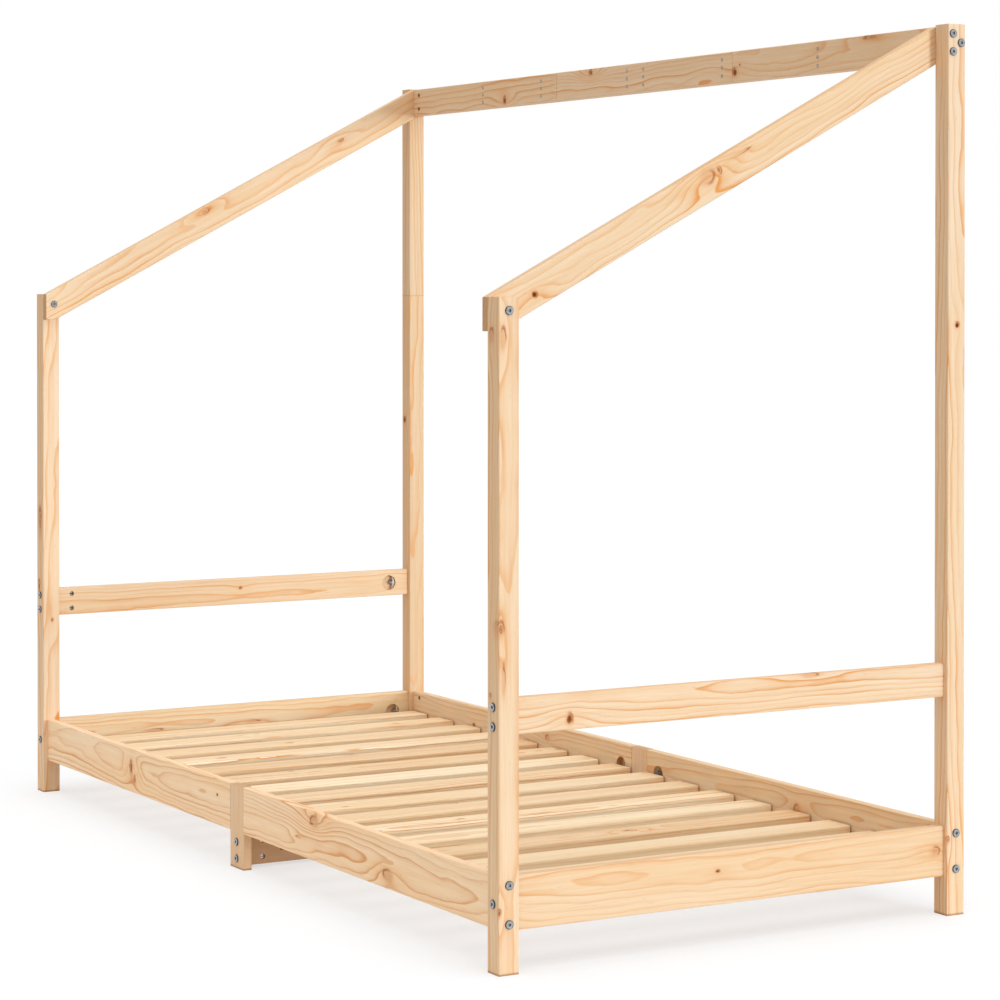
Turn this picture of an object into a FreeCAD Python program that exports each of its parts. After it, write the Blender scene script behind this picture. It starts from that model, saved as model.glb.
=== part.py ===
import FreeCAD, Part
import math
import os
import re

import Sketcher
from FreeCAD import Placement, Rotation, Vector

# Child's bed with a half-house frame, for a 90 x 200 cm mattress.
# Two low posts stand on the left, two tall posts on the right. A ridge beam joins the tall posts,
# and a sloping rafter at each end comes down from the ridge to the top of a low post.
# X runs from the low side to the tall side, Y from the near end to the far end, Z up.
# The origin is the middle of the footprint, on the floor. All sizes are in millimetres.

doc = FreeCAD.newDocument("house_frame_bed")

# ---------------------------------------------------------------- driving sizes

SIZES = [
    # overall
    ("bed_width", 960),  # across the outer faces of the posts
    ("bed_length", 2058),
    ("low_post_height", 1105),
    ("tall_post_height", 1589),
    ("post_side", 38),
    ("arris", 1.2),  # bevel along the edges of posts and boards
    # side and end rails, centred in the posts
    ("rail_thickness", 18),
    ("rail_height", 90),
    ("rail_bottom", 70),
    # guard rail at each end
    ("guard_thickness", 18),
    ("guard_height", 60),
    ("guard_bottom", 390.5),
    # leg in the middle of each long side, and the beam between the two
    ("leg_thickness", 18),
    ("leg_width", 60),
    ("beam_thickness", 18),
    ("beam_height", 60),
    ("beam_bottom", 5),
    # ridge of two boards side by side, and the rafters
    ("ridge_thickness", 18),
    ("ridge_height", 60),
    ("ridge_drop", 3),  # below the tops of the tall posts
    ("rafter_thickness", 18),
    ("rafter_width", 60),
    ("rafter_inset", 1),  # plumb cut to the outer face of the low post
    ("rafter_plumb", 56),  # height of the plumb cut
    ("rafter_round", 36),  # radius from the level cut into the slope
    # slats on ledgers
    ("slat_width", 70),
    ("slat_thickness", 18),
    ("slat_rounding", 4),
    ("slat_side_gap", 4),
    ("slat_end_gap", 3.5),
    ("ledger_width", 20),
    ("ledger_height", 25),
    ("ledger_top", 97),
    ("ledger_end_gap", 2),
    # connector bolts and what they screw into
    ("bolt_size", 6),
    ("bolt_bore", 7),
    ("bolt_run_out", 3),  # thread that shows past its nut
    ("head_diameter", 15.5),
    ("head_thickness", 2.5),
    ("barrel_diameter", 10),
    ("barrel_length", 12),
    ("barrel_fit", 0.2),  # hole wider than the barrel nut
    ("sleeve_diameter", 8),
    ("sleeve_length", 14),
    ("sleeve_fit", 0.2),
    ("flange_thickness", 2),
    ("nut_flats", 10),
    ("nut_thickness", 5),
    ("recess_diameter", 35),
    ("washer_thickness", 6),
    ("washer_fit", 0.1),
    ("dowel_diameter", 8),
    ("dowel_length", 24),
    ("dowel_slack", 0.5),  # hole deeper than the dowel's half
    # where the fasteners sit
    ("rail_bolt_spacing", 64),
    ("rail_nut_reach", 28),  # post face to barrel nut
    ("recess_reach", 41.5),  # post or leg face to the middle of the recess
    ("dowel_spacing", 36),
    ("guard_bolt_spacing", 32),
    ("guard_nut_reach", 33),
    ("guard_recess_reach", 51),
    ("beam_bolt_spacing", 32),
    ("beam_nut_reach", 33),
    ("ridge_bolt_spacing", 32),
    ("ridge_nut_reach", 43),
    ("rafter_bolt_drop", 22),  # below the top of the low post
    ("sleeve_grip", 10),  # length of bolt inside the sleeve nut
]

SLAT_COUNT = 16

sheet = doc.addObject("Spreadsheet::Sheet", "sizes")
for line, (name, number) in enumerate(SIZES, start=1):
    cell = f"A{line}"
    sheet.set(cell, str(number))
    sheet.setAlias(cell, name)
doc.recompute()


SIZE_NAME = re.compile(r"\b(" + "|".join(name for name, _ in SIZES) + r")\b")


def in_sheet(text):
    """Turn a formula of size names into one that the document's objects can read."""
    return SIZE_NAME.sub(r"sizes.\1", text)


def value(text):
    """Number that a formula of size names comes to."""
    return float(sheet.evalExpression(in_sheet(text)))


# Lines that several pieces share.
RAIL_LENGTH = "(bed_length / 2 - post_side - leg_width / 2)"
END_LENGTH = "(bed_width - 2 * post_side)"
RAIL_FACE = "(bed_width / 2 - post_side / 2 - rail_thickness / 2)"  # inner face of a side rail
LEG_FACE = "(bed_width / 2 - post_side / 2 - leg_thickness / 2)"  # inner face of a middle leg
RIDGE_FACE = "(bed_width / 2 - post_side / 2 - ridge_thickness)"  # side that meets the rafters
RIDGE_TOP = "(tall_post_height - ridge_drop)"
RIDGE_BOTTOM = f"({RIDGE_TOP} - ridge_height)"
BARREL_HOLE = "(barrel_diameter + barrel_fit)"
SLEEVE_HOLE = "(sleeve_diameter + sleeve_fit)"
RAIL_MIDDLE = "(rail_bottom + rail_height / 2)"
GUARD_MIDDLE = "(guard_bottom + guard_height / 2)"
BEAM_MIDDLE = "(beam_bottom + beam_height / 2)"
RIDGE_MIDDLE = f"({RIDGE_TOP} - ridge_height / 2)"
BORE_FLATS = 8
FLATS_TO_CORNERS = f"(1 / cos({180 / BORE_FLATS} deg))"

LEFT = Vector(-1, 0, 0)
RIGHT = Vector(1, 0, 0)
NEAR = Vector(0, -1, 0)
FAR = Vector(0, 1, 0)
UP = Vector(0, 0, 1)

# ---------------------------------------------------------------- modelling steps

parts = []
cuts = []


def new_body(label):
    body = doc.addObject("PartDesign::Body", label)
    body.Label = label
    parts.append(body)
    return body


def new_sketch(body, role, offset="0"):
    """Sketch on one of the body's own planes, moved along its normal."""
    sketch = body.newObject("Sketcher::SketchObject", "sketch")
    plane = [item for item in body.Origin.OriginFeatures if item.Role == role][0]
    sketch.AttachmentSupport = [(plane, "")]
    sketch.MapMode = "FlatFace"
    sketch.setExpression("AttachmentOffset.Base.z", in_sheet(offset))
    return sketch


def drive(sketch, kind, *ends, size):
    """Add a dimension that follows the sheet."""
    index = sketch.addConstraint(Sketcher.Constraint(kind, *ends, value(size)))
    sketch.setExpression(f"Constraints[{index}]", in_sheet(size))


def rectangle(sketch, width, height):
    """Rectangle whose lower left corner is the sketch's origin."""
    across = value(width)
    up = value(height)
    corners = [Vector(0, 0, 0), Vector(across, 0, 0), Vector(across, up, 0), Vector(0, up, 0)]
    for side in range(4):
        sketch.addGeometry(Part.LineSegment(corners[side], corners[(side + 1) % 4]), False)
    for side in range(4):
        sketch.addConstraint(Sketcher.Constraint("Coincident", side, 2, (side + 1) % 4, 1))
    for side in (0, 2):
        sketch.addConstraint(Sketcher.Constraint("Horizontal", side))
        sketch.addConstraint(Sketcher.Constraint("Vertical", side + 1))
    sketch.addConstraint(Sketcher.Constraint("Coincident", 0, 1, -1, 1))
    drive(sketch, "DistanceX", 0, 1, 0, 2, size=width)
    drive(sketch, "DistanceY", 1, 1, 1, 2, size=height)


def circle(sketch, across, up, diameter, guide=False):
    centre = Vector(value(across), value(up), 0)
    ring = sketch.addGeometry(Part.Circle(centre, Vector(0, 0, 1), value(diameter) / 2), guide)
    drive(sketch, "DistanceX", -1, 1, ring, 3, size=across)
    drive(sketch, "DistanceY", -1, 1, ring, 3, size=up)
    drive(sketch, "Diameter", ring, size=diameter)
    return ring


def bore(sketch, across, up, diameter):
    """Hole that a fastener fills, drawn with a few flats. Its diameter is measured across them."""
    ring = circle(sketch, across, up, f"({diameter} * {FLATS_TO_CORNERS})", guide=True)
    centre = sketch.Geometry[ring].Center
    radius = sketch.Geometry[ring].Radius
    corners = []
    for corner in range(BORE_FLATS):
        angle = (2 * corner - 1) * math.pi / BORE_FLATS
        corners.append(centre + Vector(math.cos(angle), math.sin(angle), 0) * radius)
    first = ring + 1
    for corner in range(BORE_FLATS):
        flat = Part.LineSegment(corners[corner], corners[(corner + 1) % BORE_FLATS])
        sketch.addGeometry(flat, False)
    for corner in range(BORE_FLATS):
        after = first + (corner + 1) % BORE_FLATS
        sketch.addConstraint(Sketcher.Constraint("Coincident", first + corner, 2, after, 1))
        sketch.addConstraint(Sketcher.Constraint("PointOnObject", first + corner, 1, ring))
        if corner > 0:
            sketch.addConstraint(Sketcher.Constraint("Equal", first, first + corner))
    sketch.addConstraint(Sketcher.Constraint("Vertical", first))


def holes(sketch, places):
    """Each place is (across, up, diameter). The recesses show, so they are true circles."""
    for across, up, diameter in places:
        if diameter == "recess_diameter":
            circle(sketch, across, up, diameter)
        else:
            bore(sketch, across, up, diameter)


def pad(body, sketch, length, backwards=False):
    feature = body.newObject("PartDesign::Pad", "pad")
    feature.Profile = sketch
    feature.setExpression("Length", in_sheet(length))
    feature.Reversed = backwards
    doc.recompute()
    return feature


def pocket(body, sketch, depth=None, backwards=False):
    """Cut to a depth, or through everything where no depth is given."""
    feature = body.newObject("PartDesign::Pocket", "pocket")
    feature.Profile = sketch
    feature.Reversed = backwards
    if depth is None:
        feature.Type = "ThroughAll"
    else:
        feature.setExpression("Length", in_sheet(depth))
    cuts.append(feature)
    doc.recompute()
    return feature


def edges_along(solid, direction, height=None):
    """Straight edges along a direction: all of them, or those at one height above the body's origin."""
    names = []
    for number, edge in enumerate(solid.Shape.Edges, start=1):
        first = edge.Vertexes[0].Point
        run = edge.Vertexes[-1].Point - first
        at_height = height is None or abs(first.z - value(height)) < 0.001
        if at_height and run.Length > 0 and abs(run.normalize().dot(direction)) > 0.999:
            names.append(f"Edge{number}")
    return names


def bevel_long_edges(body, solid, direction, height=None):
    """Break the sharp edges of a planed board."""
    feature = body.newObject("PartDesign::Chamfer", "bevel")
    feature.Base = (solid, edges_along(solid, direction, height))
    feature.setExpression("Size", in_sheet("arris"))
    doc.recompute()


def place(body, across, along, up, rotation=Rotation()):
    body.Placement = Placement(Vector(0, 0, 0), rotation)
    body.setExpression("Placement.Base.x", in_sheet(across))
    body.setExpression("Placement.Base.y", in_sheet(along))
    body.setExpression("Placement.Base.z", in_sheet(up))


# A board lies along its own X, stands up its own Z and has its inner face at Y = 0.
# These turns lay it along the bed, with the inner face towards the direction named.

FACING_RIGHT = Rotation(90, 0, 0)  # from the near end to the far end
FACING_RIGHT_BACK = Rotation(-90, 0, 180)  # from the far end to the near end, upside down
FACING_LEFT = Rotation(-90, 0, 0)  # from the far end to the near end
FACING_LEFT_BACK = Rotation(90, 0, 180)  # from the near end to the far end, upside down
FACING_FAR = Rotation(0, 0, 180)  # from left to right, upside down
FACING_NEAR = Rotation(0, 0, 0)  # from left to right


def board(label, length, height, thickness):
    body = new_body(label)
    outline = new_sketch(body, "XZ_Plane")
    rectangle(outline, length, height)
    blank = pad(body, outline, thickness, backwards=True)
    bevel_long_edges(body, blank, RIGHT)
    return body


def end_holes(body, end, places, depth):
    """Holes along the board, into its first end or its last. Each is (across, up, diameter)."""
    sketch = new_sketch(body, "YZ_Plane", end)
    holes(sketch, places)
    pocket(body, sketch, depth, backwards=end == "0")


def face_holes(body, places, depth=None):
    """Holes into the inner face. Each is (along, up, diameter)."""
    sketch = new_sketch(body, "XZ_Plane")
    holes(sketch, places)
    pocket(body, sketch, depth)


def barrel_depth(thickness):
    """A barrel nut rests on the floor of its hole with its thread on the board's centre line."""
    return f"({thickness} / 2 + barrel_length / 2)"


def recess_depth(thickness):
    """A nut rests on the floor of the recess with its thread on the board's centre line."""
    return f"({thickness} / 2 + nut_flats / 2)"


def upright(label, across, along, height):
    body = new_body(label)
    outline = new_sketch(body, "XY_Plane")
    rectangle(outline, across, along)
    blank = pad(body, outline, height)
    bevel_long_edges(body, blank, UP)
    return body


def holes_along_y(body, places, depth=None):
    """Holes through an upright along the bed. Each is (across, up, diameter)."""
    sketch = new_sketch(body, "XZ_Plane")
    holes(sketch, places)
    pocket(body, sketch, depth)


def holes_along_x(body, places, start="0", depth=None):
    """Holes across the bed, from the left face or back from another one. Each is (along, up, diameter)."""
    sketch = new_sketch(body, "YZ_Plane", start)
    holes(sketch, places)
    pocket(body, sketch, depth, backwards=start == "0")


def pair(middle, spacing):
    return [f"({middle} - {spacing} / 2)", f"({middle} + {spacing} / 2)"]


# ---------------------------------------------------------------- posts

POST_CENTRE = "post_side / 2"
DOWEL_HOLE = "(dowel_length / 2 + dowel_slack)"

rail_bolt_levels = pair(RAIL_MIDDLE, "rail_bolt_spacing")
guard_bolt_levels = pair(GUARD_MIDDLE, "guard_bolt_spacing")
dowel_levels = pair(RAIL_MIDDLE, "dowel_spacing")
ridge_bolt_levels = pair(RIDGE_MIDDLE, "ridge_bolt_spacing")
RAFTER_BOLT_LEVEL = "(low_post_height - rafter_bolt_drop)"


def low_post(label, along):
    body = upright(label, "post_side", "post_side", "low_post_height")
    levels = rail_bolt_levels + [RAFTER_BOLT_LEVEL]
    holes_along_y(body, [(POST_CENTRE, level, "bolt_bore") for level in levels])
    levels = guard_bolt_levels + [RAIL_MIDDLE]
    holes_along_x(body, [(POST_CENTRE, level, "bolt_bore") for level in levels])
    dowels = [(POST_CENTRE, level, "dowel_diameter") for level in dowel_levels]
    holes_along_x(body, dowels, "post_side", DOWEL_HOLE)
    place(body, "-bed_width / 2", along, "0")


low_post("low_post_near", "-bed_length / 2")
low_post("low_post_far", "bed_length / 2 - post_side")

FRONT_RIDGE_BOLT = "(post_side / 2 - ridge_thickness / 2)"
BACK_RIDGE_BOLT = "(post_side / 2 + ridge_thickness / 2)"


def tall_post(label, along):
    body = upright(label, "post_side", "post_side", "tall_post_height")
    bolts = [(POST_CENTRE, level, "bolt_bore") for level in rail_bolt_levels]
    bolts += [(FRONT_RIDGE_BOLT, level, "bolt_bore") for level in ridge_bolt_levels]
    bolts += [(BACK_RIDGE_BOLT, RIDGE_MIDDLE, "bolt_bore")]
    holes_along_y(body, bolts)
    holes_along_x(body, [(POST_CENTRE, level, "bolt_bore") for level in (RAIL_MIDDLE, GUARD_MIDDLE)])
    # the dowels enter from the left face, which looks at the bed
    dowels = [(POST_CENTRE, level, "dowel_diameter") for level in dowel_levels]
    holes_along_x(body, dowels, "0", DOWEL_HOLE)
    place(body, "bed_width / 2 - post_side", along, "0")


tall_post("tall_post_near", "-bed_length / 2")
tall_post("tall_post_far", "bed_length / 2 - post_side")

# ---------------------------------------------------------------- side rails, in halves

RAIL_CENTRE = "rail_thickness / 2"
rail_nut_heights = pair("rail_height / 2", "rail_bolt_spacing")


def side_rail(label, across, along, up, turn):
    """Two bolts hold the post end, and a stud through the middle leg draws the two halves together."""
    body = board(label, RAIL_LENGTH, "rail_height", "rail_thickness")
    reach = "(rail_nut_reach + barrel_diameter / 2 + bolt_run_out)"
    end_holes(body, "0", [(RAIL_CENTRE, height, "bolt_bore") for height in rail_nut_heights], reach)
    nuts = [("rail_nut_reach", height, BARREL_HOLE) for height in rail_nut_heights]
    face_holes(body, nuts, barrel_depth("rail_thickness"))
    end_holes(body, RAIL_LENGTH, [(RAIL_CENTRE, "rail_height / 2", "bolt_bore")], "recess_reach")
    recess = [(f"{RAIL_LENGTH} - recess_reach", "rail_height / 2", "recess_diameter")]
    face_holes(body, recess, recess_depth("rail_thickness"))
    place(body, across, along, up, turn)


NEAR_POST_FACE = "(post_side - bed_length / 2)"
FAR_POST_FACE = "(bed_length / 2 - post_side)"
RAIL_TOP = "(rail_bottom + rail_height)"

side_rail("side_rail_left_near", f"-{RAIL_FACE}", NEAR_POST_FACE, "rail_bottom", FACING_RIGHT)
side_rail("side_rail_left_far", f"-{RAIL_FACE}", FAR_POST_FACE, RAIL_TOP, FACING_RIGHT_BACK)
side_rail("side_rail_right_near", RAIL_FACE, NEAR_POST_FACE, RAIL_TOP, FACING_LEFT_BACK)
side_rail("side_rail_right_far", RAIL_FACE, FAR_POST_FACE, "rail_bottom", FACING_LEFT)

# ---------------------------------------------------------------- middle legs and cross beam

beam_bolt_levels = pair(BEAM_MIDDLE, "beam_bolt_spacing")
beam_nut_heights = pair("beam_height / 2", "beam_bolt_spacing")


def middle_leg(label, across):
    body = upright(label, "leg_thickness", "leg_width", RAIL_TOP)
    holes_along_y(body, [("leg_thickness / 2", RAIL_MIDDLE, "bolt_bore")])
    holes_along_x(body, [("leg_width / 2", level, "bolt_bore") for level in beam_bolt_levels])
    place(body, across, "-leg_width / 2", "0")


middle_leg("mid_leg_left", f"-{LEG_FACE} - leg_thickness")
middle_leg("mid_leg_right", LEG_FACE)

BEAM_LENGTH = f"(2 * {LEG_FACE})"
BEAM_NUT_RUN = "(beam_nut_reach + barrel_diameter / 2 + bolt_run_out)"

beam = board("cross_beam", BEAM_LENGTH, "beam_height", "beam_thickness")
for beam_end in ("0", BEAM_LENGTH):
    bores = [("beam_thickness / 2", height, "bolt_bore") for height in beam_nut_heights]
    end_holes(beam, beam_end, bores, BEAM_NUT_RUN)
beam_nut_holes = []
for reach in ("beam_nut_reach", f"{BEAM_LENGTH} - beam_nut_reach"):
    beam_nut_holes += [(reach, height, BARREL_HOLE) for height in beam_nut_heights]
face_holes(beam, beam_nut_holes, barrel_depth("beam_thickness"))
place(beam, f"-{LEG_FACE}", "-beam_thickness / 2", "beam_bottom", FACING_NEAR)

# ---------------------------------------------------------------- end rails and guard rails

dowel_heights = pair("rail_height / 2", "dowel_spacing")


def end_rail(label, along, up, turn):
    """A bolt from each post pulls on a nut in a round recess, with a dowel above and one below."""
    body = board(label, END_LENGTH, "rail_height", "rail_thickness")
    for end in ("0", END_LENGTH):
        end_holes(body, end, [(RAIL_CENTRE, "rail_height / 2", "bolt_bore")], "recess_reach")
        dowels = [(RAIL_CENTRE, height, "dowel_diameter") for height in dowel_heights]
        end_holes(body, end, dowels, DOWEL_HOLE)
    middles = ["recess_reach", f"{END_LENGTH} - recess_reach"]
    recesses = [(middle, "rail_height / 2", "recess_diameter") for middle in middles]
    face_holes(body, recesses, recess_depth("rail_thickness"))
    place(body, "post_side - bed_width / 2", along, up, turn)


END_RAIL_FACE = "(bed_length / 2 - post_side / 2 - rail_thickness / 2)"
GUARD_FACE = "(bed_length / 2 - post_side / 2 - guard_thickness / 2)"

end_rail("end_rail_near", f"-{END_RAIL_FACE}", RAIL_TOP, FACING_FAR)
end_rail("end_rail_far", END_RAIL_FACE, "rail_bottom", FACING_NEAR)

GUARD_CENTRE = "guard_thickness / 2"
guard_nut_heights = pair("guard_height / 2", "guard_bolt_spacing")


def guard_rail(label, along, up, turn):
    """Two barrel nuts at the low post and one recessed nut at the tall post."""
    body = board(label, END_LENGTH, "guard_height", "guard_thickness")
    reach = "(guard_nut_reach + barrel_diameter / 2 + bolt_run_out)"
    bores = [(GUARD_CENTRE, height, "bolt_bore") for height in guard_nut_heights]
    end_holes(body, "0", bores, reach)
    nuts = [("guard_nut_reach", height, BARREL_HOLE) for height in guard_nut_heights]
    face_holes(body, nuts, barrel_depth("guard_thickness"))
    bore = [(GUARD_CENTRE, "guard_height / 2", "bolt_bore")]
    end_holes(body, END_LENGTH, bore, "guard_recess_reach")
    recess = [(f"{END_LENGTH} - guard_recess_reach", "guard_height / 2", "recess_diameter")]
    face_holes(body, recess, recess_depth("guard_thickness"))
    place(body, "post_side - bed_width / 2", along, up, turn)


guard_rail("guard_rail_near", f"-{GUARD_FACE}", "guard_bottom + guard_height", FACING_FAR)
guard_rail("guard_rail_far", GUARD_FACE, "guard_bottom", FACING_NEAR)

# ---------------------------------------------------------------- ridge beam

RIDGE_LENGTH = "(bed_length - 2 * post_side)"
RIDGE_NUT_RUN = "(ridge_nut_reach + barrel_diameter / 2 + bolt_run_out)"
ridge_nut_heights = pair("ridge_height / 2", "ridge_bolt_spacing")

ridge = board("ridge_front", RIDGE_LENGTH, "ridge_height", "ridge_thickness")
for ridge_end in ("0", RIDGE_LENGTH):
    bores = [("ridge_thickness / 2", height, "bolt_bore") for height in ridge_nut_heights]
    end_holes(ridge, ridge_end, bores, RIDGE_NUT_RUN)
ridge_nut_holes = []
for reach in ("ridge_nut_reach", f"{RIDGE_LENGTH} - ridge_nut_reach"):
    ridge_nut_holes += [(reach, height, BARREL_HOLE) for height in ridge_nut_heights]
face_holes(ridge, ridge_nut_holes, barrel_depth("ridge_thickness"))
place(ridge, RIDGE_FACE, FAR_POST_FACE, RIDGE_BOTTOM, FACING_LEFT)

RIDGE_BACK = "(bed_width / 2 - post_side / 2 + ridge_thickness)"


def ridge_back(label, along, up, turn):
    """Half-length board behind the front one, with a single bolt at its post."""
    body = board(label, f"({RIDGE_LENGTH} / 2)", "ridge_height", "ridge_thickness")
    middle = "ridge_height / 2"
    end_holes(body, "0", [("ridge_thickness / 2", middle, "bolt_bore")], RIDGE_NUT_RUN)
    face_holes(body, [("ridge_nut_reach", middle, BARREL_HOLE)], barrel_depth("ridge_thickness"))
    place(body, RIDGE_BACK, along, up, turn)


ridge_back("ridge_back_near", NEAR_POST_FACE, RIDGE_BOTTOM, FACING_RIGHT)
ridge_back("ridge_back_far", FAR_POST_FACE, RIDGE_TOP, FACING_RIGHT_BACK)

# ---------------------------------------------------------------- rafters

# The rafter lies against the side of the low post. Its lower end is cut plumb and level, with a round
# into the slope, and its upper end is cut plumb to butt the ridge. The sketch's origin is the outer
# top edge of the low post.

RAFTER_SPAN = f"({RIDGE_FACE} + bed_width / 2)"
RAFTER_RISE = f"({RIDGE_TOP} - low_post_height)"


def rafter(label, along):
    body = new_body(label)
    start = value("rafter_inset")
    end = value(RAFTER_SPAN)
    rise = value(RAFTER_RISE)
    plumb = value("rafter_plumb")
    radius = value("rafter_round")
    slope = Vector(end - start, rise, 0).normalize()
    below = Vector(slope.y, -slope.x, 0) * value("rafter_width")
    low_start = Vector(start, 0, 0) + below
    tip = Vector(end, low_start.y + (end - low_start.x) * slope.y / slope.x, 0)
    corner = Vector(low_start.x - (plumb + low_start.y) * slope.x / slope.y, -plumb, 0)
    half_turn = (slope.y / (1 + slope.x)) * radius
    round_end = corner - Vector(half_turn, 0, 0)
    round_start = corner + slope * half_turn
    bend_circle = Part.Circle(round_end + Vector(0, radius, 0), Vector(0, 0, 1), radius)
    down = -math.pi / 2

    sketch = new_sketch(body, "XZ_Plane")
    top_start = Vector(start, 0, 0)
    top_end = Vector(end, rise, 0)
    foot = Vector(start, -plumb, 0)
    top = sketch.addGeometry(Part.LineSegment(top_start, top_end), False)
    upper_cut = sketch.addGeometry(Part.LineSegment(top_end, tip), False)
    under = sketch.addGeometry(Part.LineSegment(tip, round_start), False)
    bend_arc = Part.ArcOfCircle(bend_circle, down, down + math.atan2(slope.y, slope.x))
    bend = sketch.addGeometry(bend_arc, False)
    level = sketch.addGeometry(Part.LineSegment(round_end, foot), False)
    lower_cut = sketch.addGeometry(Part.LineSegment(foot, top_start), False)
    sketch.addConstraint(Sketcher.Constraint("Coincident", top, 2, upper_cut, 1))
    sketch.addConstraint(Sketcher.Constraint("Coincident", upper_cut, 2, under, 1))
    sketch.addConstraint(Sketcher.Constraint("Tangent", under, 2, bend, 2))
    sketch.addConstraint(Sketcher.Constraint("Tangent", level, 1, bend, 1))
    sketch.addConstraint(Sketcher.Constraint("Coincident", level, 2, lower_cut, 1))
    sketch.addConstraint(Sketcher.Constraint("Coincident", lower_cut, 2, top, 1))
    sketch.addConstraint(Sketcher.Constraint("Vertical", upper_cut))
    sketch.addConstraint(Sketcher.Constraint("Vertical", lower_cut))
    sketch.addConstraint(Sketcher.Constraint("Horizontal", level))
    sketch.addConstraint(Sketcher.Constraint("Parallel", top, under))
    sketch.addConstraint(Sketcher.Constraint("PointOnObject", top, 1, -1))
    drive(sketch, "DistanceX", -1, 1, top, 1, size="rafter_inset")
    drive(sketch, "DistanceX", -1, 1, top, 2, size=RAFTER_SPAN)
    drive(sketch, "DistanceY", -1, 1, top, 2, size=RAFTER_RISE)
    drive(sketch, "DistanceY", lower_cut, 1, lower_cut, 2, size="rafter_plumb")
    drive(sketch, "Distance", under, 1, top, size="rafter_width")
    drive(sketch, "Radius", bend, size="rafter_round")

    blank = pad(body, sketch, "rafter_thickness", backwards=True)
    bevel_long_edges(body, blank, Vector(slope.x, 0, slope.y))
    # the bolt hole lies below the sketch's origin
    sleeve_bore = new_sketch(body, "XZ_Plane")
    bore(sleeve_bore, POST_CENTRE, "-rafter_bolt_drop", SLEEVE_HOLE)
    pocket(body, sleeve_bore)
    place(body, "-bed_width / 2", along, "low_post_height")


rafter("rafter_near", NEAR_POST_FACE)
rafter("rafter_far", f"{FAR_POST_FACE} - rafter_thickness")

# ---------------------------------------------------------------- ledgers and slats

LEDGER_LENGTH = f"({RAIL_LENGTH} - 2 * ledger_end_gap)"
LEDGER_FACE = f"({RAIL_FACE} - ledger_width)"
LEDGER_BOTTOM = "ledger_top - ledger_height"


def ledger(label, across, along, turn):
    """Batten screwed to the inside of a side rail."""
    body = board(label, LEDGER_LENGTH, "ledger_height", "ledger_width")
    place(body, across, along, LEDGER_BOTTOM, turn)


ledger("ledger_left_near", f"-{LEDGER_FACE}", f"{NEAR_POST_FACE} + ledger_end_gap", FACING_RIGHT)
ledger("ledger_left_far", f"-{LEDGER_FACE}", "leg_width / 2 + ledger_end_gap", FACING_RIGHT)
ledger("ledger_right_near", LEDGER_FACE, "-leg_width / 2 - ledger_end_gap", FACING_LEFT)
ledger("ledger_right_far", LEDGER_FACE, f"{FAR_POST_FACE} - ledger_end_gap", FACING_LEFT)

SLAT_LENGTH = f"(2 * ({RAIL_FACE} - slat_side_gap))"
SLAT_RUN = f"({RIDGE_LENGTH} - 2 * slat_end_gap - slat_width)"

for number in range(SLAT_COUNT):
    slat = new_body(f"slat_{number + 1:02d}")
    section = new_sketch(slat, "YZ_Plane")
    rectangle(section, "slat_width", "slat_thickness")
    stick = pad(slat, section, SLAT_LENGTH)
    rounded = slat.newObject("PartDesign::Fillet", "rounding")
    rounded.Base = (stick, edges_along(stick, RIGHT, "slat_thickness"))
    rounded.setExpression("Radius", in_sheet("slat_rounding"))
    doc.recompute()
    bevel_long_edges(slat, rounded, RIGHT, "0")
    step = f"{NEAR_POST_FACE} + slat_end_gap + {SLAT_RUN} * {number} / {SLAT_COUNT - 1}"
    place(slat, f"-{SLAT_LENGTH} / 2", step, "ledger_top")

# ---------------------------------------------------------------- fasteners

# Each fastener is drawn once about its own origin, and a group holds its copies where they sit.


SHANK_FLATS = BORE_FLATS
HEAD_FLATS = 12
NUT_CORNERS = "(2 / sqrt(3))"  # a hexagon's corners against its flats


def bar(name, flats, corners, length, start="0", axis=UP):
    """Bar with two of its flats level. Small round stock is drawn with a few flats, and its corners
    lie on the real diameter."""
    solid = doc.addObject("Part::Prism", name)
    solid.Polygon = flats
    solid.setExpression("Circumradius", in_sheet(f"{corners} / 2"))
    solid.setExpression("Height", in_sheet(length))
    turn = Rotation(UP, axis).multiply(Rotation(UP, 180 / flats))
    solid.Placement = Placement(Vector(0, 0, 0), turn)
    for letter, share in zip("xyz", axis):
        if share:
            solid.setExpression(f"Placement.Base.{letter}", in_sheet(f"{share} * ({start})"))
    return solid


def bolt_way(name, diameter, length, start="0", axis=UP):
    """Tool for a bore that a bolt passes through, with its diameter across its flats."""
    return bar(name, BORE_FLATS, f"{diameter} * {FLATS_TO_CORNERS}", length, start, axis)


def cut(name, base, tool):
    result = doc.addObject("Part::Cut", name)
    result.Base = base
    result.Tool = tool
    return result


def fuse(name, base, tool):
    result = doc.addObject("Part::Fuse", name)
    result.Base = base
    result.Tool = tool
    return result


def connector_bolt(name, length):
    """Flat round head. The shank points up from under it."""
    head = bar("bolt_head", HEAD_FLATS, "head_diameter", "head_thickness", "-head_thickness")
    shank = bar("bolt_shank", SHANK_FLATS, "bolt_size", length)
    return fuse(name, head, shank)


def group(label, copies):
    """Separate copies of loose fasteners in one node. Each copy is (piece, place)."""
    node = doc.addObject("Part::Feature", label)
    node.Label = label
    solids = []
    for piece, where in copies:
        solid = piece.Shape.copy()
        solid.Placement = where.multiply(solid.Placement)
        solids.append(solid)
    node.Shape = Part.makeCompound(solids)
    node.Placement = Placement()
    parts.append(node)


def spot(across, along, up, direction, side=None):
    """Place whose Z points along the direction, and whose X points to the side if one is given."""
    point = Vector(value(across), value(along), value(up))
    if side is None:
        return Placement(point, Rotation(UP, direction))
    return Placement(point, Rotation(side, direction.cross(side), direction, "XYZ"))


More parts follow.
